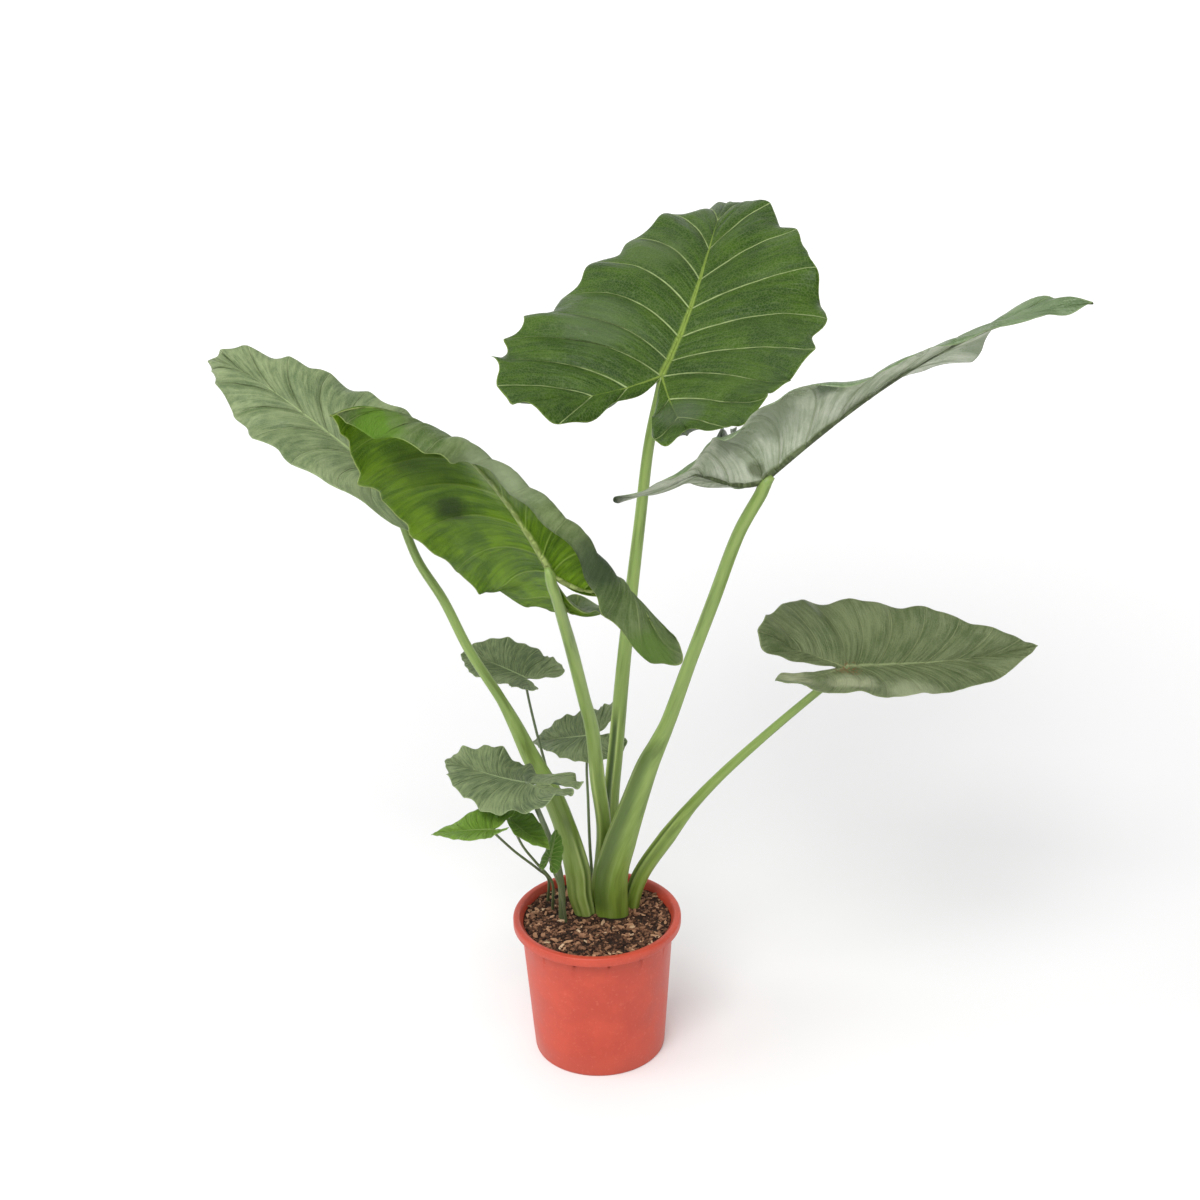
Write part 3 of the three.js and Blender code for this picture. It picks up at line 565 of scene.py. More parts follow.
def margin_point(vein):
    """A smooth curve through the vein ends."""
    i = min(int(vein), LAST_VEIN - 1)
    t = vein - i
    ends = [Vector(row[1]) for row in VEINS]
    p1, p2 = ends[i], ends[i + 1]
    p0 = ends[i - 1] if i else 2 * p1 - p2
    p3 = ends[i + 2] if i + 2 <= LAST_VEIN else 2 * p2 - p1
    return smooth_span(p1, p2, (p2 - p0) / 2, (p3 - p1) / 2, t)


def rib_point(vein):
    i = min(int(vein), LAST_VEIN - 1)
    return Vector(VEINS[i][0]).lerp(Vector(VEINS[i + 1][0]), vein - i)


def plan_point(leaf, half, vein, across):
    """The flat leaf: vein counts round the half, across runs from the rib to the margin."""
    rib, margin = rib_point(vein), margin_point(vein)
    on_front = clamp(vein) * clamp(LAST_VEIN - vein)
    lobe = 0.55 * math.cos(2 * math.pi * vein) + 0.45 * (1 - 2 * abs(math.sin(math.pi * vein)))
    uneven = noise.noise(Vector((vein * 1.1, leaf["length"] / 9, 5.5 + half)))
    lobe = lobe * (1 + uneven) + 0.5 * noise.noise(Vector((vein * 3.3, leaf["length"] / 7, half)))
    reach = across * (1 + leaf["scallop"] * on_front * across ** 2 * lobe)
    x, y = rib.lerp(margin, reach)
    towards_tip = 1 if vein < LOBE_END_VEIN + 0.5 else -0.3
    long_enough = min(1.0, 2 * (margin - rib).length)
    y += VEIN_BOW * 4 * across * (1 - across) * long_enough * towards_tip
    return x, y + leaf["tail"] * max(0.0, (y - TAIL_START) / 0.2) ** 2


def leaf_axes(leaf):
    """The blade's own axes in the plant: across it, along its midrib, out of its upper face."""
    azimuth, elevation = math.radians(leaf["azimuth"]), math.radians(leaf["elevation"])
    along = Vector((
        math.sin(azimuth) * math.cos(elevation),
        math.cos(azimuth) * math.cos(elevation),
        math.sin(elevation),
    ))
    level = Vector((math.cos(azimuth), -math.sin(azimuth), 0))
    across = Matrix.Rotation(math.radians(leaf["roll"]), 3, along) @ level
    return across, along, across.cross(along)


def spine_frames(leaf):
    """Where the midrib's line runs and how it is turned, as a function of the distance along."""
    arch, lobe = leaf["arch"], math.radians(leaf["lobe_bend"])
    sweep, twist = math.radians(leaf["sweep"]), math.radians(leaf["twist"])

    def heading(t):
        pitch = -2 * lobe * t
        if t >= 0:
            pitch = -(math.radians(arch[0]) * t + math.radians(arch[1]) * t * t)
        yaw = max(0.0, t) * sweep
        return Vector((
            math.sin(yaw) * math.cos(pitch), math.cos(yaw) * math.cos(pitch), math.sin(pitch)))

    places = {0: Vector((0, 0, 0))}
    for i in range(SPINE_AHEAD):
        places[i + 1] = places[i] + heading((i + 0.5) * SPINE_STEP) * SPINE_STEP
    for i in range(SPINE_BACK):
        places[-i - 1] = places[-i] - heading(-(i + 0.5) * SPINE_STEP) * SPINE_STEP

    def at(along):
        i = math.floor(along / SPINE_STEP)
        place = places[i].lerp(places[i + 1], along / SPINE_STEP - i)
        yaw = max(0.0, along) * sweep
        tangent = heading(along)
        level = Vector((math.cos(yaw), -math.sin(yaw), 0))
        side = Matrix.Rotation(-twist * max(0.0, along), 3, tangent) @ level
        return place, side, side.cross(tangent)

    return at


def rib_runout(vein):
    """1 where the rib is thickest, at the junction, and 0 at the tip and the lobes' ends."""
    rib = rib_point(vein)
    return 1 - (rib.y if vein <= JUNCTION_VEIN else rib.length / LOBE_RIB)


def folded_bend(leaf, half, y):
    """How steeply a half stands at a distance from the rib: a fold and an even curl."""
    fold = math.radians(eased(FOLD_STATIONS, leaf["fold"][half], y))
    curl = math.radians(eased(CURL_STATIONS, leaf["curl"][half], y))
    return lambda reach: fold + curl * (reach / CURL_WIDTH) ** 2


def rolled_bend(rolled, y):
    """The same for a half that is rolled over: it turns from one distance to another."""
    base, start, turn, over = (
        eased(rolled["along"], rolled[name], y) for name in ("base", "start", "turn", "over"))

    def angle(reach):
        share = clamp((reach - start) / over)
        return math.radians(base + turn * share * share * (3 - 2 * share))

    return angle


def blade_point(leaf, frames, half, vein, across):
    """The middle of the sheet, in metres in the plant."""
    x, y = plan_point(leaf, half, vein, across)
    rolled = leaf["rolled"][half] if "rolled" in leaf else None
    x *= rolled["width"] if rolled else leaf["width"]
    spread = math.radians(leaf["spread"][half]) * clamp(-y / SPREAD_REACH)
    x, y = (
        x * math.cos(spread) - y * math.sin(spread), x * math.sin(spread) + y * math.cos(spread))
    bend = rolled_bend(rolled, y) if rolled else folded_bend(leaf, half, y)
    sideways = lift = 0.0
    for i in range(BEND_STEPS):
        angle = bend(x * (i + 0.5) / BEND_STEPS)
        sideways += math.cos(angle) * x / BEND_STEPS
        lift += math.sin(angle) * x / BEND_STEPS
    on_front = clamp(vein) * clamp(LAST_VEIN - vein)
    middle = (4 * across * (1 - across)) ** 0.6
    between_veins = abs(math.sin(math.pi * vein))
    pillow = between_veins ** 0.85 - 0.3 * math.exp(-((vein % 1 - 0.5) / 0.07) ** 2) * (1 - across)
    streak = noise.noise(Vector((vein * 2.6, across * 1.5 + 7 * half, leaf["length"] / 37)))
    lift += (PUFF * pillow + STREAK_LIFT * streak * between_veins) * middle * on_front
    turn = math.pi * vein + math.radians(leaf["ruffle_turn"] + 110 * half)
    wave = math.sin(turn) + 0.5 * math.sin(2 * math.pi * vein + 1.9 * half)
    lift += leaf["ruffle"] * across ** 3 * wave * on_front
    drift = noise.noise(Vector((x * 5 + 9 * half, y * 5, leaf["length"] / 37)))
    drift += 0.5 * noise.noise(Vector((x * 13 + 9 * half, y * 13, leaf["length"] / 29)))
    lift += DRIFT_LIFT * across * drift
    place, side, up = frames(y)
    local = place + side * (sideways if half else -sideways) + up * lift
    across_axis, along_axis, out_axis = leaf_axes(leaf)
    turned = across_axis * local.x + along_axis * local.y + out_axis * local.z
    return (Vector(leaf["junction"]) + leaf["length"] * turned) * MM, (x, y)


def grow_blade(name, leaf, grade):
    """Both halves as mapped grids, joined down the midrib, given thickness and ribs."""
    bm = bmesh.new()
    number = bm.verts.layers.int.new("number")
    lengths = leaf["length"] * MM
    to_vein, along_vein, rib_share, to_edge, under, ridge = (
        bm.verts.layers.float.new(layer)
        for layer in ("to_vein", "along_vein", "rib", "to_edge", "under", "ridge")
    )
    plan, fan = (bm.verts.layers.float_vector.new(layer) for layer in ("plan", "fan"))
    frames = spine_frames(leaf)
    columns = [vein + step for vein in range(LAST_VEIN) for step in grade["steps"]] + [LAST_VEIN]
    rows = grade["rows"]
    segments = (len(columns) - 1, rows + len(NEAR_RIB) - 1)
    for half in (0, 1):
        before = set(bm.verts)
        bmesh.ops.create_grid(bm, x_segments=segments[0], y_segments=segments[1], size=1.0)
        for vert in set(bm.verts) - before:
            vein = columns[round((vert.co.x + 1) / 2 * segments[0])]
            row = round((vert.co.y + 1) / 2 * segments[1])
            rib, margin = rib_point(vein), margin_point(vein)
            reach = (margin - rib).length * lengths
            runout = clamp(rib_runout(vein))
            rib_half = grade["rib_half"] * (RIB_END + (1 - RIB_END) * runout ** 1.3)
            if vein > JUNCTION_VEIN:
                rib_half *= LOBE_RIB_SHARE
            last_near = min(NEAR_RIB[-1] * rib_half / max(reach, 1e-6), RIB_LIMIT)
            if row < len(NEAR_RIB):
                across = last_near * NEAR_RIB[row] / NEAR_RIB[-1]
            else:
                share = (row - len(NEAR_RIB) + 1) / rows
                across = last_near + (1 - last_near) * share
            vert.co, (x, y) = blade_point(leaf, frames, half, vein, across)
            nearest = abs(vein - round(vein))
            ahead, behind = min(vein + 0.5, LAST_VEIN), max(vein - 0.5, 0)
            gap = (margin_point(ahead) - margin_point(behind)).length
            gap = gap * across + 0.14 * (1 - across)
            vert[to_vein] = nearest * gap * lengths
            vert[along_vein] = across * reach
            vert[to_edge] = (1 - across) * reach
            off_rib = across * reach / rib_half
            vert[rib_share] = off_rib
            vert[plan] = Vector((x if half else -x, y, 0)) * lengths
            vert[fan] = Vector((vein + 20 * half, across, 0))
            depth = 0.0
            if off_rib < 1:
                depth = leaf["rib"] * MM * runout * math.sqrt(1 - off_rib ** 2)
            vein_half = grade["vein_half"] * (1 - VEIN_TAPER * across)
            vein_share = vert[to_vein] / vein_half
            if vein_share < 1 and across < 0.98:
                rise = grade["vein_ridge"] * (1 - across) * math.sqrt(1 - vein_share ** 2)
                depth = max(depth, rise)
            vert[ridge] = depth
    bmesh.ops.remove_doubles(bm, verts=bm.verts[:], dist=0.05 * MM)
    bmesh.ops.recalc_face_normals(bm, faces=bm.faces[:])
    junction = Vector(leaf["junction"]) * MM
    middle = min(bm.faces, key=lambda face: (face.calc_center_median() - junction).length)
    if middle.normal.dot(leaf_axes(leaf)[2]) < 0:
        bmesh.ops.reverse_faces(bm, faces=bm.faces[:])
    bm.normal_update()
    skin = []
    for vert in bm.verts:
        vert[number] = len(skin)
        skin.append((vert.co.copy(), vert.normal.copy()))
    bmesh.ops.solidify(bm, geom=bm.faces[:], thickness=grade["sheet"])
    for vert in bm.verts:
        place, normal = skin[vert[number]]
        half_sheet = grade["sheet"] * (0.2 + 0.3 * clamp(vert[to_edge] / EDGE_TAPER))
        if (vert.co - place).length > grade["sheet"] / 2:
            vert[under] = 1.0
            vert.co = place - normal * (half_sheet + vert[ridge])
        else:
            vert.co = place + normal * (half_sheet + 0.25 * vert[ridge])
    bmesh.ops.recalc_face_normals(bm, faces=bm.faces[:])
    return new_object(name, bm)


def swept_path(centres):
    """A smooth curve through the stations, slowed where they lie close together."""
    def at(position):
        i = min(int(position), len(centres) - 2)
        t = position - i
        p1, p2 = centres[i], centres[i + 1]
        p0 = centres[i - 1] if i else 2 * p1 - p2
        p3 = centres[i + 2] if i + 2 < len(centres) else 2 * p2 - p1
        d0, d1, d2 = (math.sqrt((b - a).length) for a, b in ((p0, p1), (p1, p2), (p2, p3)))
        t1 = ((p1 - p0) / d0 - (p2 - p0) / (d0 + d1) + (p2 - p1) / d1) * d1
        t2 = ((p2 - p1) / d1 - (p3 - p1) / (d1 + d2) + (p3 - p2) / d2) * d1
        return smooth_span(p1, p2, t1, t2, t)
    return at


def grow_stalk(name, leaf, grade, grooves):
    """A mapped grid wrapped into a tube, from the soil up into the blade's midrib.

    A groove is (degrees round, half its width, lowest, highest, dip, lip, shade).
    """
    _, along, out = leaf_axes(leaf)
    junction = Vector(leaf["junction"])
    top = Vector(leaf["stalk"][-1][:3])
    width, depth = leaf["stalk"][-1][3:]
    arrival = (junction - top).normalized()
    below = grade["sheet"] / MM / 2 + width * math.sin(arrival.angle(out)) * 0.8
    seat = junction - out * below
    root = Vector(leaf["stalk"][0][:3]) - Vector((0, 0, BURIED))
    run_on = seat + along * 9 * width / 6 + out * width * 0.2
    stations = [(*root, *leaf["stalk"][0][3:])] + list(leaf["stalk"])
    stations += [(*(seat - arrival * 1.6 * width), width, depth), (*seat, width, depth)]
    stations += [(*run_on, width * 0.55, depth * 0.55)]
    path = swept_path([Vector(row[:3]) for row in stations])
    cuts = []
    for span in range(len(stations) - 1):
        length = (Vector(stations[span + 1][:3]) - Vector(stations[span][:3])).length
        count = max(2, round(length / grade["step"]))
        cuts += [span + i / count for i in range(count)]
    cuts.append(len(stations) - 1)
    bm = bmesh.new()
    turn_layer = bm.verts.layers.float_vector.new("wrap")
    groove_shade_layer = bm.verts.layers.float.new("groove")
    margin_layer = bm.verts.layers.float.new("margin")
    bmesh.ops.create_grid(bm, x_segments=grade["around"], y_segments=len(cuts) - 1, size=1.0)
    rings = []
    run = 0.0
    for i, cut in enumerate(cuts):
        centre = path(cut)
        ahead = path(min(cut + 0.02, len(stations) - 1)) - path(max(cut - 0.02, 0))
        run += (centre - rings[-1][0]).length if rings else 0.0
        level = Vector((0, 1, 0)).cross(ahead).normalized()
        inward = ahead.normalized().cross(level)
        span = min(int(cut), len(stations) - 2)
        share = cut - span
        here, there = stations[span][3:], stations[span + 1][3:]
        size = [first + (second - first) * share for first, second in zip(here, there)]
        rings.append((centre, level, inward, size, run))
    for vert in bm.verts:
        centre, level, inward, size, run = rings[round((vert.co.y + 1) / 2 * (len(cuts) - 1))]
        turn = (vert.co.x + 1) * math.pi
        swell, groove_shade, edge = 1.0, 0.0, 0.0
        for angle, half_width, low, high, dip, lip, shade in grooves:
            fade = clamp((high - centre.z) / GROOVE_TOP_FADE)
            fade *= clamp((centre.z - low) / GROOVE_FOOT_FADE)
            off = (math.degrees(turn) - angle + 180) % 360 - 180
            inside = fade * math.exp(-(off / half_width) ** 4)
            raised = fade * math.exp(-((abs(off) - half_width * LIP_PLACE) / LIP_WIDTH) ** 2)
            swell += lip * raised - dip * inside
            # Painted shade inside the groove, as strong as the groove's shade column.
            groove_shade = max(groove_shade, shade * inside)
            edge = max(edge, min(1.0, lip * 12) * raised)
        around_co = level * math.cos(turn) * size[0] + inward * math.sin(turn) * size[1]
        vert.co = (centre + around_co * swell) * MM
        vert[turn_layer] = Vector((turn * size[0] * MM, run * MM, turn))
        vert[groove_shade_layer] = groove_shade
        vert[margin_layer] = edge
    bmesh.ops.remove_doubles(bm, verts=bm.verts[:], dist=0.01 * MM)
    bmesh.ops.holes_fill(bm, edges=[edge for edge in bm.edges if edge.is_boundary], sides=0)
    bmesh.ops.recalc_face_normals(bm, faces=bm.faces[:])
    return new_object(name, bm)


def vein_group():
    """Masks of the main veins, the fine side veins and the net between them."""
    group = bpy.data.node_groups.new("leaf_veins", "ShaderNodeTree")
    face = group.interface
    for name in ("Vein Width", "Side Vein Spacing", "Net Scale"):
        face.new_socket(name, in_out="INPUT", socket_type="NodeSocketFloat")
    for name in ("Main", "Side", "Net", "Midrib", "Edge", "Cloud", "Crease Shade", "Under", "Relief"):
        face.new_socket(name, in_out="OUTPUT", socket_type="NodeSocketFloat")
    given, out = node(group, "NodeGroupInput"), node(group, "NodeGroupOutput")
    plan, fan = attribute(group, "plan", "Vector"), attribute(group, "fan", "Vector")
    to_vein = times(group, attribute(group, "to_vein"), 1000.0)
    along = times(group, attribute(group, "along_vein"), 1000.0)

    def wander(scale, detail, reach):
        off_middle = maths(group, "SUBTRACT", speckle(group, plan, scale, detail), 0.5)
        return times(group, off_middle, reach)

    distance = maths(group, "ADD", to_vein, wander(60, 2, 1.2))
    width = times(group, given.outputs["Vein Width"], ramp(group, along, 0.0, 150.0, 1.0, 0.35))
    main = ramp(group, maths(group, "DIVIDE", distance, width), 0.5, 1.6, 1.0, 0.0)
    main = times(group, main, ramp(group, along, 60.0, 175.0, 1.0, 0.6))
    slant = maths(group, "MULTIPLY_ADD", to_vein, -0.75, along)
    slant = maths(group, "ADD", slant, wander(18, 3, 34.0))
    phase = maths(group, "FRACT", maths(group, "DIVIDE", slant, given.outputs["Side Vein Spacing"]))
    off = maths(group, "ABSOLUTE", maths(group, "SUBTRACT", phase, 0.5))
    side = ramp(group, off, 0.0, 0.07, 1.0, 0.0)
    side = times(group, side, ramp(group, to_vein, 2.0, 22.0, 1.0, 0.15))
    side = times(group, side, ramp(group, speckle(group, plan, 30, 2), 0.4, 0.6))
    sources = {"Vector": plan, "Scale": given.outputs["Net Scale"]}
    cells = node(group, "ShaderNodeTexVoronoi", sources, feature="DISTANCE_TO_EDGE")
    net = ramp(group, cells.outputs["Distance"], 0.02, 0.12, 1.0, 0.0)
    midrib = ramp(group, attribute(group, "rib"), 0.35, 1.1, 1.0, 0.0)
    edge = ramp(group, times(group, attribute(group, "to_edge"), 1000.0), 0.5, 1.6, 1.0, 0.0)
    cloud = speckle(group, plan, 14, 4, 0.6)
    # Noise across the veins: it raises the quilted relief, and as its own output it paints shade
    # into the creases.
    creases = speckle(group, fan, 1.0, 4, 0.62, stretch=(7, 2.2, 1))
    relief = times(group, creases, 1.6)
    fine = speckle(group, fan, 1.0, 3, 0.6, stretch=(30, 8, 1))
    for part, height in ((fine, 0.12), (side, -0.12), (net, -0.09), (main, -0.5)):
        relief = maths(group, "MULTIPLY_ADD", part, height, relief)
    under = attribute(group, "under")
    for socket, source in zip(
        out.inputs, (main, side, net, midrib, edge, cloud, creases, under, relief)
    ):
        feed(group, socket, source)
    return group


LEAF_VEINS = vein_group()
WAXY = {
    "vein_width": 1.2, "spacing": 8.0, "net": 260.0, "side_vein": 0.12, "main_vein": 0.8,
    "edge": 0.6, "shine": 0.5, "patches": (),
}
SUNLIT = (1.0, 1.0, 0.6, 1)
SHEATH_EDGE = (0.5, 0.6, 0.22, 1)


def patch_mask(tree, x, y, radius, strength, grain):
    """1 inside a round patch of the flat leaf with an uneven edge, broken into specks by grain."""
    plan = attribute(tree, "plan", "Vector")
    sources = {0: plan, 1: (x * MM, y * MM, 0)}
    apart = node(tree, "ShaderNodeVectorMath", sources, operation="DISTANCE")
    wander = times(tree, speckle(tree, plan, 35, 3, 0.6), 0.9 * radius * MM)
    reach = maths(tree, "ADD", apart.outputs["Value"], wander)
    mask = ramp(tree, reach, 0.75 * radius * MM, 1.45 * radius * MM, strength, 0.0)
    if grain:
        mask = times(tree, mask, ramp(tree, speckle(tree, plan, grain, 2, 0.7), 0.5, 0.58))
    return mask


def blade_finish(name, look):
    """A waxy leaf surface with an upper and an under side, veins and light showing through."""
    look = {**WAXY, **look}
    material, tree, shader = new_material(name)
    sources = dict(enumerate((look["vein_width"], look["spacing"], look["net"])))
    out = node(tree, "ShaderNodeGroup", sources, node_tree=LEAF_VEINS).outputs
    # The tone between each side's dark and light colour is random mottling plus painted shade in
    # the creases of the quilting.
    tone = times(tree, maths(tree, "ADD", out["Cloud"], out["Crease Shade"]), 0.5)
    skins = []
    for side in ("upper", "under"):
        dark, light, vein, rib = (colour + (1,) for colour in look[side])
        colour = mix_colour(tree, ramp(tree, tone, 0.38, 0.62), dark, light)
        for mask, share, over in (
            ("Net", 0.12, vein), ("Side", look["side_vein"], vein),
            ("Main", look["main_vein"], vein), ("Edge", look["edge"], rib),
        ):
            colour = mix_colour(tree, times(tree, out[mask], share), colour, over)
        skins.append(mix_colour(tree, out["Midrib"], colour, rib))
    colour = mix_colour(tree, out["Under"], *skins)
    # Patches lay a colour over both sides: on several leaves they are painted sheen, painted shade,
    # painted shadows and painted light showing through.
    for x, y, radius, shade, strength, grain in look["patches"]:
        mask = patch_mask(tree, x, y, radius, strength, grain)
        colour = mix_colour(tree, mask, colour, shade + (1,))
    gloss = ramp(tree, out["Cloud"], 0.3, 0.7, look["rough"] - 0.05, look["rough"] + 0.07)
    dress(tree, shader, colour, gloss, bump(tree, out["Relief"], LEAF_BUMP, LEAF_RELIEF))
    shader.inputs["Specular IOR Level"].default_value = look["shine"]
    lit = mix_colour(tree, 1.0, colour, SUNLIT, blend="MULTIPLY")
    glow = node(tree, "ShaderNodeBsdfTranslucent", {"Color": lit})
    sources = {0: look["through"], 1: shader.outputs[0], 2: glow.outputs[0]}
    both = node(tree, "ShaderNodeMixShader", sources)
    feed(tree, tree.nodes["Material Output"].inputs["Surface"], both.outputs[0])
    return material


def stalk_finish(name, low, high, streak):
    """Smooth fleshy stalk: yellow-green, with fine lengthwise lines and paler sheath edges."""
    material, tree, shader = new_material(name)
    wrap = attribute(tree, "wrap", "Vector")
    place = node(tree, "ShaderNodeSeparateXYZ", {0: object_place(tree)})
    lines = speckle(tree, wrap, 1.0, 3, 0.6, stretch=(900, 9, 1))
    cloud = speckle(tree, wrap, 1.0, 3, 0.6, stretch=(60, 9, 1))
    blotch = tuple(0.45 * part for part in low) + (1,)
    # A darker copy of the low colour, laid into the grooves as painted shade.
    dark = (0.3 * low[0], 0.36 * low[1], 0.5 * low[2], 1)
    colour = mix_colour(tree, ramp(tree, place.outputs["Z"], 0.18, 0.55), low + (1,), high + (1,))
    for mask, share, over in (
        (ramp(tree, cloud, 0.45, 0.7), 0.45, streak + (1,)),
        (ramp(tree, lines, 0.5, 0.75), 0.3, streak + (1,)),
        (ramp(tree, cloud, 0.5, 0.3), 0.55, blotch),
        (attribute(tree, "groove"), 1.0, dark),
        (attribute(tree, "margin"), 0.8, SHEATH_EDGE),
    ):
        colour = mix_colour(tree, times(tree, mask, share), colour, over)
    gloss = ramp(tree, cloud, 0.3, 0.7, 0.36, 0.5)
    dress(tree, shader, colour, gloss, bump(tree, lines, 0.25, 0.0006))
    shader.inputs["Subsurface Weight"].default_value = 0.15
    shader.inputs["Subsurface Radius"].default_value = (0.4, 0.8, 0.2)
    shader.inputs["Subsurface Scale"].default_value = 0.004
    return material


FRESH = ((0.17, 0.26, 0.03), (0.21, 0.31, 0.075), (0.32, 0.42, 0.12))
GREY = ((0.12, 0.16, 0.07), (0.13, 0.17, 0.09), (0.22, 0.27, 0.13))


def set_leaf(name, leaf, grade, look, stalk_colours, grooves=()):
    """Grows a blade and its stalk, and puts both in place of their solids."""
    blade = grow_blade(f"leaf_{name}", leaf, grade)
    blade.data.materials.append(blade_finish(f"leaf_{name}_skin", look))
    stalk = grow_stalk(f"leafstalk_{name}", leaf, grade, grooves)
    stalk.data.materials.append(stalk_finish(f"leafstalk_{name}_skin", *stalk_colours))
    for piece, stands_for in ((blade, f"blade_{name}"), (stalk, f"stalk_{name}")):
        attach(piece, "root")
        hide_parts(stands_for)


top_leaf = {
    "junction": (92, 113, 850), "azimuth": 31, "elevation": 34, "roll": 0,
    "length": 364, "width": 1.1, "arch": (-18, 62), "lobe_bend": -52,
    "sweep": -27, "twist": -7,
    "fold": ((11, 29, 15, 5, 1), (6, 9, -7, 2, 6)),
    "curl": ((14, -40, -25), (26, 9, -12)),
    "spread": (0, 3), "scallop": 0.035, "ruffle": 0.018,
    "ruffle_turn": 40, "tail": 0, "rib": 5,
    "stalk": [
        (16, 50, 178, 10.5, 9.5), (18, 52, 234, 10, 9.5), (21, 52, 319, 10, 9),
        (28, 53, 388, 9.5, 9), (42, 69, 517, 8.5, 8.5), (63, 92, 675, 7, 7),
        (76, 104, 771, 6.5, 6.5),
    ],
}
top_look = {
    "upper": (
        (0.026, 0.074, 0.001), (0.068, 0.146, 0.006), (0.48, 0.60, 0.26), (0.32, 0.45, 0.08),
    ),
    "under": ((0.12, 0.19, 0.07), (0.18, 0.26, 0.11), (0.22, 0.32, 0.12), (0.3, 0.42, 0.16)),
    "rough": 0.34, "through": 0.3, "vein_width": 1.6, "shine": 0.3, "main_vein": 1.0,
    # Patches: two of painted sheen, pale grey-green on the left half, and a paler grey one low on
    # the right lobe.
    "patches": (
        (-100, 40, 70, (0.15, 0.21, 0.10), 0.45, 0),
        (-60, 190, 50, (0.13, 0.19, 0.07), 0.4, 0),
        (60, -70, 45, (0.15, 0.20, 0.12), 0.5, 0),
    ),
}
top_grooves = ((236, 26, 150, 450, 0.3, 0.08, 1.0),)
set_leaf("top", top_leaf, FINE, top_look, FRESH, top_grooves)

# Right leaf
# Turned nearly edge-on: its grey-green underside shows with an olive midrib, the far half
# folded up dark beyond it, and the tip drawn out to a twisted thread. The thickest stalk.
RIGHT_STATIONS = (-0.45, -0.25, -0.1, 0, 0.15, 0.35, 0.55, 0.75, 0.9, 1.1)
right_leaf = {
    "junction": (197, -60, 784), "azimuth": 82, "elevation": 39, "roll": -31,
    "length": 379, "arch": (7, 23), "lobe_bend": -109, "sweep": 21, "twist": -14,
    "spread": (33, 26), "scallop": 0.03, "ruffle": 0.012,
    "ruffle_turn": 100, "tail": 0.1, "rib": 6,
    "rolled": ({
        "width": 0.9,
        "along": RIGHT_STATIONS,
        "base": (33, 31, 37, 34, 35, 9, -6, -29, 18, 96),
        "start": (0.06, 0.08, 0.09, 0.09, 0.1, 0.09, 0.08, 0.08, 0.09, 0.1),
        "turn": (28, -3, -21, -15, -29, -38, -6, -20, -41, -62),
        "over": (0.28, 0.35, 0.41, 0.41, 0.42, 0.35, 0.25, 0.27, 0.3, 0.35),
    }, {
        "width": 0.51,
        "along": RIGHT_STATIONS,
        "base": (-43, 2, 53, 63, 63, 39, 6, 12, -7, -29),
        "start": (0.07, 0.03, 0, 0, 0, 0, 0, 0.02, 0.04, 0.06),
        "turn": (49, 18, -89, -117, -104, -87, -9, 91, 194, 294),
        "over": (0.36, 0.44, 0.5, 0.47, 0.43, 0.43, 0.44, 0.46, 0.48, 0.5),
    }),
    "stalk": [
        (19, 10, 178, 21, 13), (18, 7, 219, 21, 14), (21, 5, 249, 20.5, 14),
        (31, 1, 288, 19.5, 15), (43, -3, 328, 17, 14), (66, -9, 400, 13.5, 12),
        (78, -11, 428, 11, 10.5), (90, -13, 457, 9, 8.6), (117, -22, 542, 7.9, 7.9),
        (144, -36, 627, 7.8, 7.8), (173, -50, 718, 7.4, 7.4),
    ],
}
# The underside's pale grey-green colours are partly the leaf's own and partly a painted sheen of
# the bright surroundings; the patches darken the far half and a few spots.
right_look = {
    "upper": ((0.09, 0.16, 0.05), (0.17, 0.25, 0.11), (0.24, 0.34, 0.14), (0.34, 0.45, 0.2)),
    "under": ((0.32, 0.39, 0.24), (0.64, 0.68, 0.54), (0.24, 0.30, 0.15), (0.10, 0.14, 0.04)),
    "rough": 0.30, "through": 0.15, "main_vein": 0.7, "shine": 0.8,
    "patches": (
        (55, 60, 50, (0.15, 0.20, 0.10), 0.75, 0),
        (60, 0, 40, (0.15, 0.20, 0.10), 0.75, 0),
        (50, 125, 26, (0.05, 0.09, 0.03), 0.85, 0),
        (12, 2, 14, (0.07, 0.10, 0.02), 0.8, 0),
        (118, -140, 16, (0.03, 0.05, 0.02), 0.85, 0),
        (-60, 268, 26, (0.14, 0.20, 0.09), 0.7, 0),
    ),
}
# The first, wide groove hardly dips: it paints shade down one flank of the stalk.
right_grooves = (
    (222, 42, 185, 440, 0.03, 0.0, 0.75),
    (178, 14, 250, 420, 0.12, 0.05, 0.7),
)
set_leaf("right", right_leaf, FINE, right_look, FRESH, right_grooves)

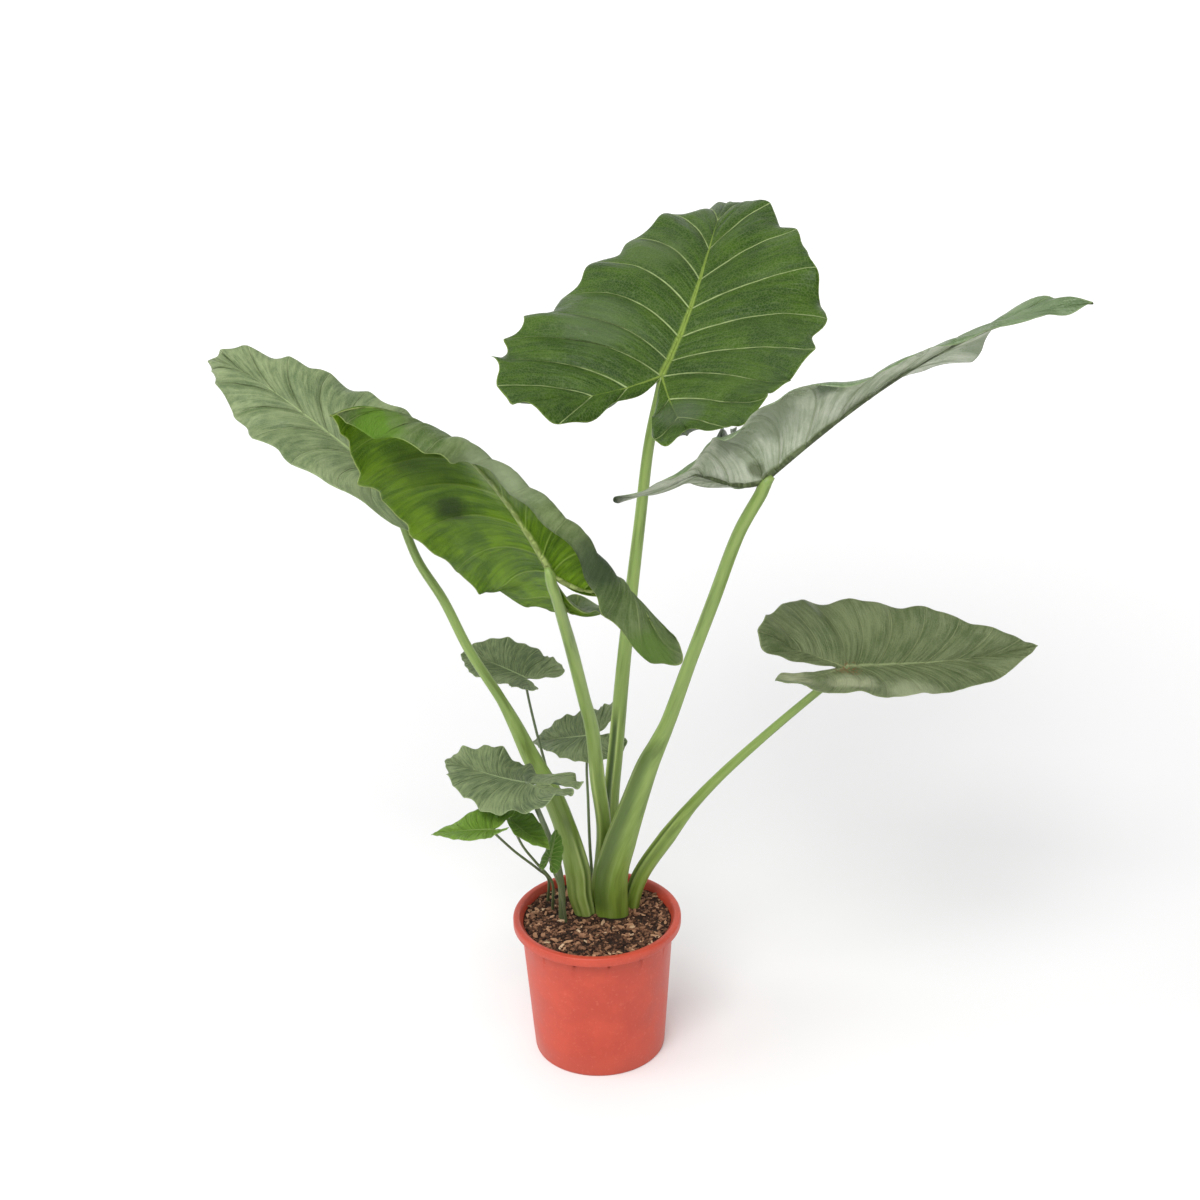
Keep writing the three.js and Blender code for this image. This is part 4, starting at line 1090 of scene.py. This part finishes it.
# Front leaf
# Hangs towards the viewer with its underside lit through, one half rolled over along the top
# so that its upper side shows. The stalk passes in front of the near lobe into the midrib.
front_leaf = {
    "junction": (-37, -190, 732), "azimuth": -65, "elevation": 59.5, "roll": 85,
    "length": 347, "width": 1.14, "arch": (10, 82), "lobe_bend": -109,
    "sweep": 11, "twist": 22,
    "fold": (None, (19, 31, 8, -29, -60)),
    "curl": (None, (18, -21, 5)),
    "spread": (15, -9), "scallop": 0.03, "ruffle": 0.015,
    "ruffle_turn": 10, "tail": 0, "rib": 5,
    "rolled": ({
        "width": 0.61,
        "along": (-0.45, -0.3, -0.15, 0, 0.15, 0.3, 0.45, 0.6, 0.8, 1),
        "base": (-34, 11, 21, 12, 0, 3, -13, -36, -85, -114),
        "start": (0.04, 0.05, 0.1, 0.12, 0.13, 0.07, 0.06, 0.12, 0.05, 0),
        "turn": (-67, -158, -221, -239, -262, -216, -225, -147, -59, 35),
        "over": (0.19, 0.25, 0.24, 0.21, 0.16, 0.14, 0.12, 0.12, 0.08, 0.06),
    }, None),
    "stalk": [
        (-2, 38, 178, 9, 9), (7, 32, 245, 8.5, 9), (11, 23, 296, 9.3, 9),
        (5, 1, 375, 9.3, 9), (0, -33, 462, 8.5, 8.5), (-8, -60, 515, 7.6, 7.8),
        (-20, -116, 605, 7.3, 7.3), (-28, -156, 661, 6.6, 6.6), (-34, -190, 704, 6, 6),
    ],
}
# The upper colours are paled and greyed with a painted sheen where the rolled strip shows.
front_look = {
    "upper": ((0.10, 0.17, 0.04), (0.24, 0.31, 0.13), (0.38, 0.48, 0.2), (0.46, 0.58, 0.2)),
    "under": ((0.07, 0.16, 0.003), (0.20, 0.36, 0.012), (0.28, 0.42, 0.07), (0.48, 0.58, 0.2)),
    "rough": 0.34, "through": 0.4, "main_vein": 0.6, "edge": 0.9, "shine": 0.2,
    # Patches: painted light through the rolled tip, a painted pale sheen along the strip, painted
    # shade on the rolled lobe, painted light through that lobe's end, and two painted shadows cast
    # by the rolled half on the underside.
    "patches": (
        (-25, 285, 45, (0.16, 0.34, 0.02), 0.8, 0),
        (-40, 130, 75, (0.42, 0.50, 0.30), 0.7, 0),
        (-80, -10, 45, (0.04, 0.07, 0.03), 0.8, 0),
        (-100, -110, 30, (0.15, 0.27, 0.04), 0.8, 0),
        (95, 110, 30, (0.015, 0.04, 0.001), 0.75, 0),
        (50, 175, 60, (0.04, 0.09, 0.002), 0.65, 0),
    ),
}
front_grooves = ((285, 34, 200, 420, 0.08, 0.06, 0.25),)
set_leaf("front", front_leaf, FINE, front_look, FRESH, front_grooves)

# Left leaf
# A narrow view of the upper side with a grey sheen; its stalk leaves the clump to the left.
left_leaf = {
    "junction": (-235, 60, 751), "azimuth": -80, "elevation": 38, "roll": -40,
    "length": 294, "width": 0.66, "arch": (6, 60), "lobe_bend": 22,
    "sweep": 16, "twist": 17,
    "fold": ((48, 39, 28, -9, 4), (6, -2, -16, -14, 30)),
    "curl": ((13, 25, -3), (-3, -11, -6)),
    "spread": (-12, 0), "scallop": 0.035, "ruffle": 0.018,
    "ruffle_turn": 70, "tail": 0, "rib": 4.5,
    "stalk": [
        (-15, 13, 178, 13, 10), (-21, 14, 208, 15, 11), (-23, 16, 240, 16, 12),
        (-39, 21, 307, 13.5, 12), (-55, 24, 352, 13, 12), (-76, 28, 395, 11.2, 11),
        (-93, 31, 436, 8.8, 9), (-109, 34, 470, 6.4, 6.4), (-146, 40, 536, 6, 6),
        (-174, 46, 600, 5.8, 5.8), (-202, 51, 650, 5.4, 5.4), (-222, 57, 710, 5, 5),
    ],
}
PLAIN_UNDER = ((0.10, 0.17, 0.05), (0.15, 0.23, 0.08), (0.22, 0.32, 0.12), (0.3, 0.42, 0.16))
# The pale grey upper colours are partly the leaf's own and partly a painted sheen.
left_look = {
    "upper": ((0.13, 0.20, 0.075), (0.34, 0.42, 0.20), (0.50, 0.60, 0.32), (0.48, 0.60, 0.28)),
    "under": PLAIN_UNDER,
    "rough": 0.36, "through": 0.3,
}
left_grooves = (
    (318, 14, 170, 300, 0.14, 0.07, 0.6),
    (250, 10, 170, 250, 0.08, 0.04, 0.3),
)
set_leaf("left", left_leaf, FINE, left_look, FRESH, left_grooves)

# Low right leaf
# The lowest large leaf, nearly level, seen at a grazing angle on its upper side, with a pale grey
# sheen painted on.
low_right_leaf = {
    "junction": (302, 0, 519), "azimuth": 80, "elevation": -3, "roll": 6,
    "length": 237, "width": 0.87, "arch": (2, -21), "lobe_bend": -26,
    "sweep": 6, "twist": -30,
    "fold": ((46, 23, 20, 22, 17), (-1, 10, 18, 15, 1)),
    "curl": ((-27, 8, 0), (53, -6, 2)),
    "spread": (-13, 4), "scallop": 0.015, "ruffle": 0.012,
    "ruffle_turn": 130, "tail": 0, "rib": 4,
    "stalk": [
        (43, 27, 178, 10, 10), (55, 25, 224, 10.5, 10), (90, 21, 283, 10.5, 10),
        (120, 18, 327, 7.2, 7.2), (155, 14, 370, 6.1, 6.1), (203, 9, 421, 5.4, 5.4),
        (250, 4, 468, 5, 5), (276, 1, 493, 4.8, 4.8),
    ],
}
low_right_look = {
    "upper": ((0.10, 0.145, 0.045), (0.22, 0.27, 0.12), (0.34, 0.40, 0.19), (0.36, 0.43, 0.2)),
    "under": PLAIN_UNDER,
    "rough": 0.4, "through": 0.25, "main_vein": 0.6,
    # Three pale grey patches of painted sheen, and brown specks near the junction.
    "patches": (
        (55, -10, 40, (0.50, 0.54, 0.34), 0.85, 0),
        (80, 60, 45, (0.42, 0.47, 0.28), 0.7, 0),
        (45, -75, 34, (0.50, 0.54, 0.34), 0.8, 0),
        (10, 0, 24, (0.30, 0.13, 0.05), 0.9, 200),
    ),
}
low_right_grooves = ((205, 16, 170, 330, 0.15, 0.06, 0.6),)
set_leaf("low_right", low_right_leaf, FINE, low_right_look, FRESH, low_right_grooves)

# Small leaves
# Three small crinkled grey-green leaves on wiry stalks: a rounded one half hidden behind the
# left stalk, one behind the stalks in the middle of the clump, and one at its front left.
FLAT = ((0, 0, 0), (0, 0, 0))
THIN = {"side_vein": 0.3, "vein_width": 0.4, "spacing": 4.0, "net": 500.0}
SMALL_LOOK = {
    "upper": ((0.08, 0.13, 0.045), (0.30, 0.38, 0.17), (0.46, 0.56, 0.28), (0.46, 0.58, 0.28)),
    "under": ((0.10, 0.17, 0.08), (0.14, 0.22, 0.11), (0.2, 0.3, 0.15), (0.27, 0.36, 0.18)),
    "rough": 0.45, "through": 0.25,
    **THIN,
}
SMALL_LEAVES = {
    "small_back_left": {
        "junction": (-82, 85, 475), "azimuth": -64, "elevation": 16, "roll": 0,
        "length": 97, "width": 1.13, "arch": (7, 20), "lobe_bend": -14,
        "sweep": 12, "twist": 50,
        "fold": ((21, 15, 18, 18, 15), (5, 11, 8, 28, 29)),
        "curl": FLAT, "spread": (19, 15), "scallop": 0.02, "ruffle": 0.01,
        "ruffle_turn": 0, "tail": 0, "rib": 1.6,
        "stalk": [
            (-26, 48, 178, 2.2, 2.2), (-44, 58, 274, 2, 2), (-59, 70, 356, 1.9, 1.9),
            (-69, 77, 400, 1.7, 1.7), (-77, 82, 441, 1.6, 1.6),
        ],
    },
    "small_back": {
        "junction": (-1, 107, 382), "azimuth": -71, "elevation": -16, "roll": -25,
        "length": 98, "width": 1, "arch": (12, 10), "lobe_bend": 10,
        "sweep": 20, "twist": -10,
        "fold": ((-1, 0, 14, 25, 20), (15, -5, 6, 26, 18)),
        "curl": FLAT, "spread": (-13, 20), "scallop": 0.03, "ruffle": 0.015,
        "ruffle_turn": 60, "tail": 0, "rib": 1.6,
        "stalk": [
            (-4, 56, 178, 2.2, 2.2), (-7, 66, 240, 2, 2), (-8, 86, 301, 1.8, 1.8),
            (-8, 101, 352, 1.6, 1.6),
        ],
    },
    "small_left": {
        "junction": (-77, -64, 409), "azimuth": -79, "elevation": 4, "roll": 5,
        "length": 120, "width": 1.1, "arch": (-11, 20), "lobe_bend": -3,
        "sweep": 40, "twist": 43,
        "fold": ((14, -13, -10, 10, 12), (-9, -11, -16, 19, 23)),
        "curl": FLAT, "spread": (-8, -17), "scallop": 0.03, "ruffle": 0.03,
        "ruffle_turn": 20, "tail": 0, "rib": 2,
        "stalk": [
            (-44, 4, 178, 4.2, 4), (-43, -6, 225, 4.4, 4.2), (-48, -22, 281, 4.2, 4),
            (-58, -36, 326, 3.8, 3.6), (-70, -54, 375, 3.2, 3.2),
        ],
    },
}
for name, leaf in SMALL_LEAVES.items():
    set_leaf(name, leaf, SMALL, SMALL_LOOK, GREY)

# Young leaves
# Three bright, thin young leaves low at the left: one with a pointed tip, a yellow-green one
# beside it, and the newest, still crumpled from its sheath.
YOUNG_LOOK = {
    "upper": ((0.16, 0.32, 0.02), (0.32, 0.54, 0.06), (0.42, 0.60, 0.14), (0.46, 0.62, 0.2)),
    "under": ((0.12, 0.27, 0.02), (0.18, 0.36, 0.04), (0.3, 0.48, 0.1), (0.36, 0.52, 0.16)),
    "rough": 0.4, "through": 0.4,
    **THIN,
}
YOUNG_LEAVES = {
    "young_left": {
        "junction": (-120, -112, 374), "azimuth": -80, "elevation": -7, "roll": -1,
        "length": 76, "width": 1.06, "arch": (-6, 20), "lobe_bend": -32,
        "sweep": 5, "twist": -5,
        "fold": ((20, 15, 7, 8, 14), (17, 13, 23, 6, 7)),
        "curl": FLAT, "spread": (8, 15), "scallop": 0, "ruffle": 0.008,
        "ruffle_turn": 0, "tail": 0, "rib": 1.4,
        "stalk": [
            (-62, 44, 178, 1.8, 1.8), (-60, 24, 224, 1.8, 1.8), (-71, -3, 254, 1.7, 1.7),
            (-97, -63, 316, 1.6, 1.6),
        ],
    },
    "young_front": {
        "junction": (-98, -63, 356), "azimuth": 134, "elevation": -22, "roll": -19,
        "length": 62, "width": 1.05, "arch": (-28, 20), "lobe_bend": -7,
        "sweep": -2, "twist": -19,
        "fold": ((12, 20, 19, 14, 14), (19, 33, 15, 11, 13)),
        "curl": FLAT, "spread": (0, 0), "scallop": 0, "ruffle": 0.01,
        "ruffle_turn": 90, "tail": 0, "rib": 1.4,
        "stalk": [
            (-56, 26, 178, 1.8, 1.8), (-55, 6, 230, 1.8, 1.8), (-72, -16, 270, 1.7, 1.7),
            (-88, -40, 310, 1.6, 1.6),
        ],
    },
    "young_curled": {
        "junction": (-55, -58, 301), "azimuth": 40, "elevation": 62, "roll": 200,
        "length": 40, "width": 0.9, "arch": (10, 30), "lobe_bend": -20,
        "sweep": 0, "twist": 10,
        "fold": ((20, 25, 30, 30, 30), (20, 25, 30, 30, 30)),
        "curl": ((40, 60, 60), (40, 60, 60)),
        "spread": (0, 0), "scallop": 0.03, "ruffle": 0.03,
        "ruffle_turn": 0, "tail": 0, "rib": 1.4,
        "stalk": [
            (-39, -6, 178, 1.8, 1.8), (-44, -30, 241, 1.8, 1.8), (-50, -45, 272, 1.7, 1.7),
        ],
    },
}
for name, leaf in YOUNG_LEAVES.items():
    set_leaf(name, leaf, SMALL, YOUNG_LOOK, GREY)
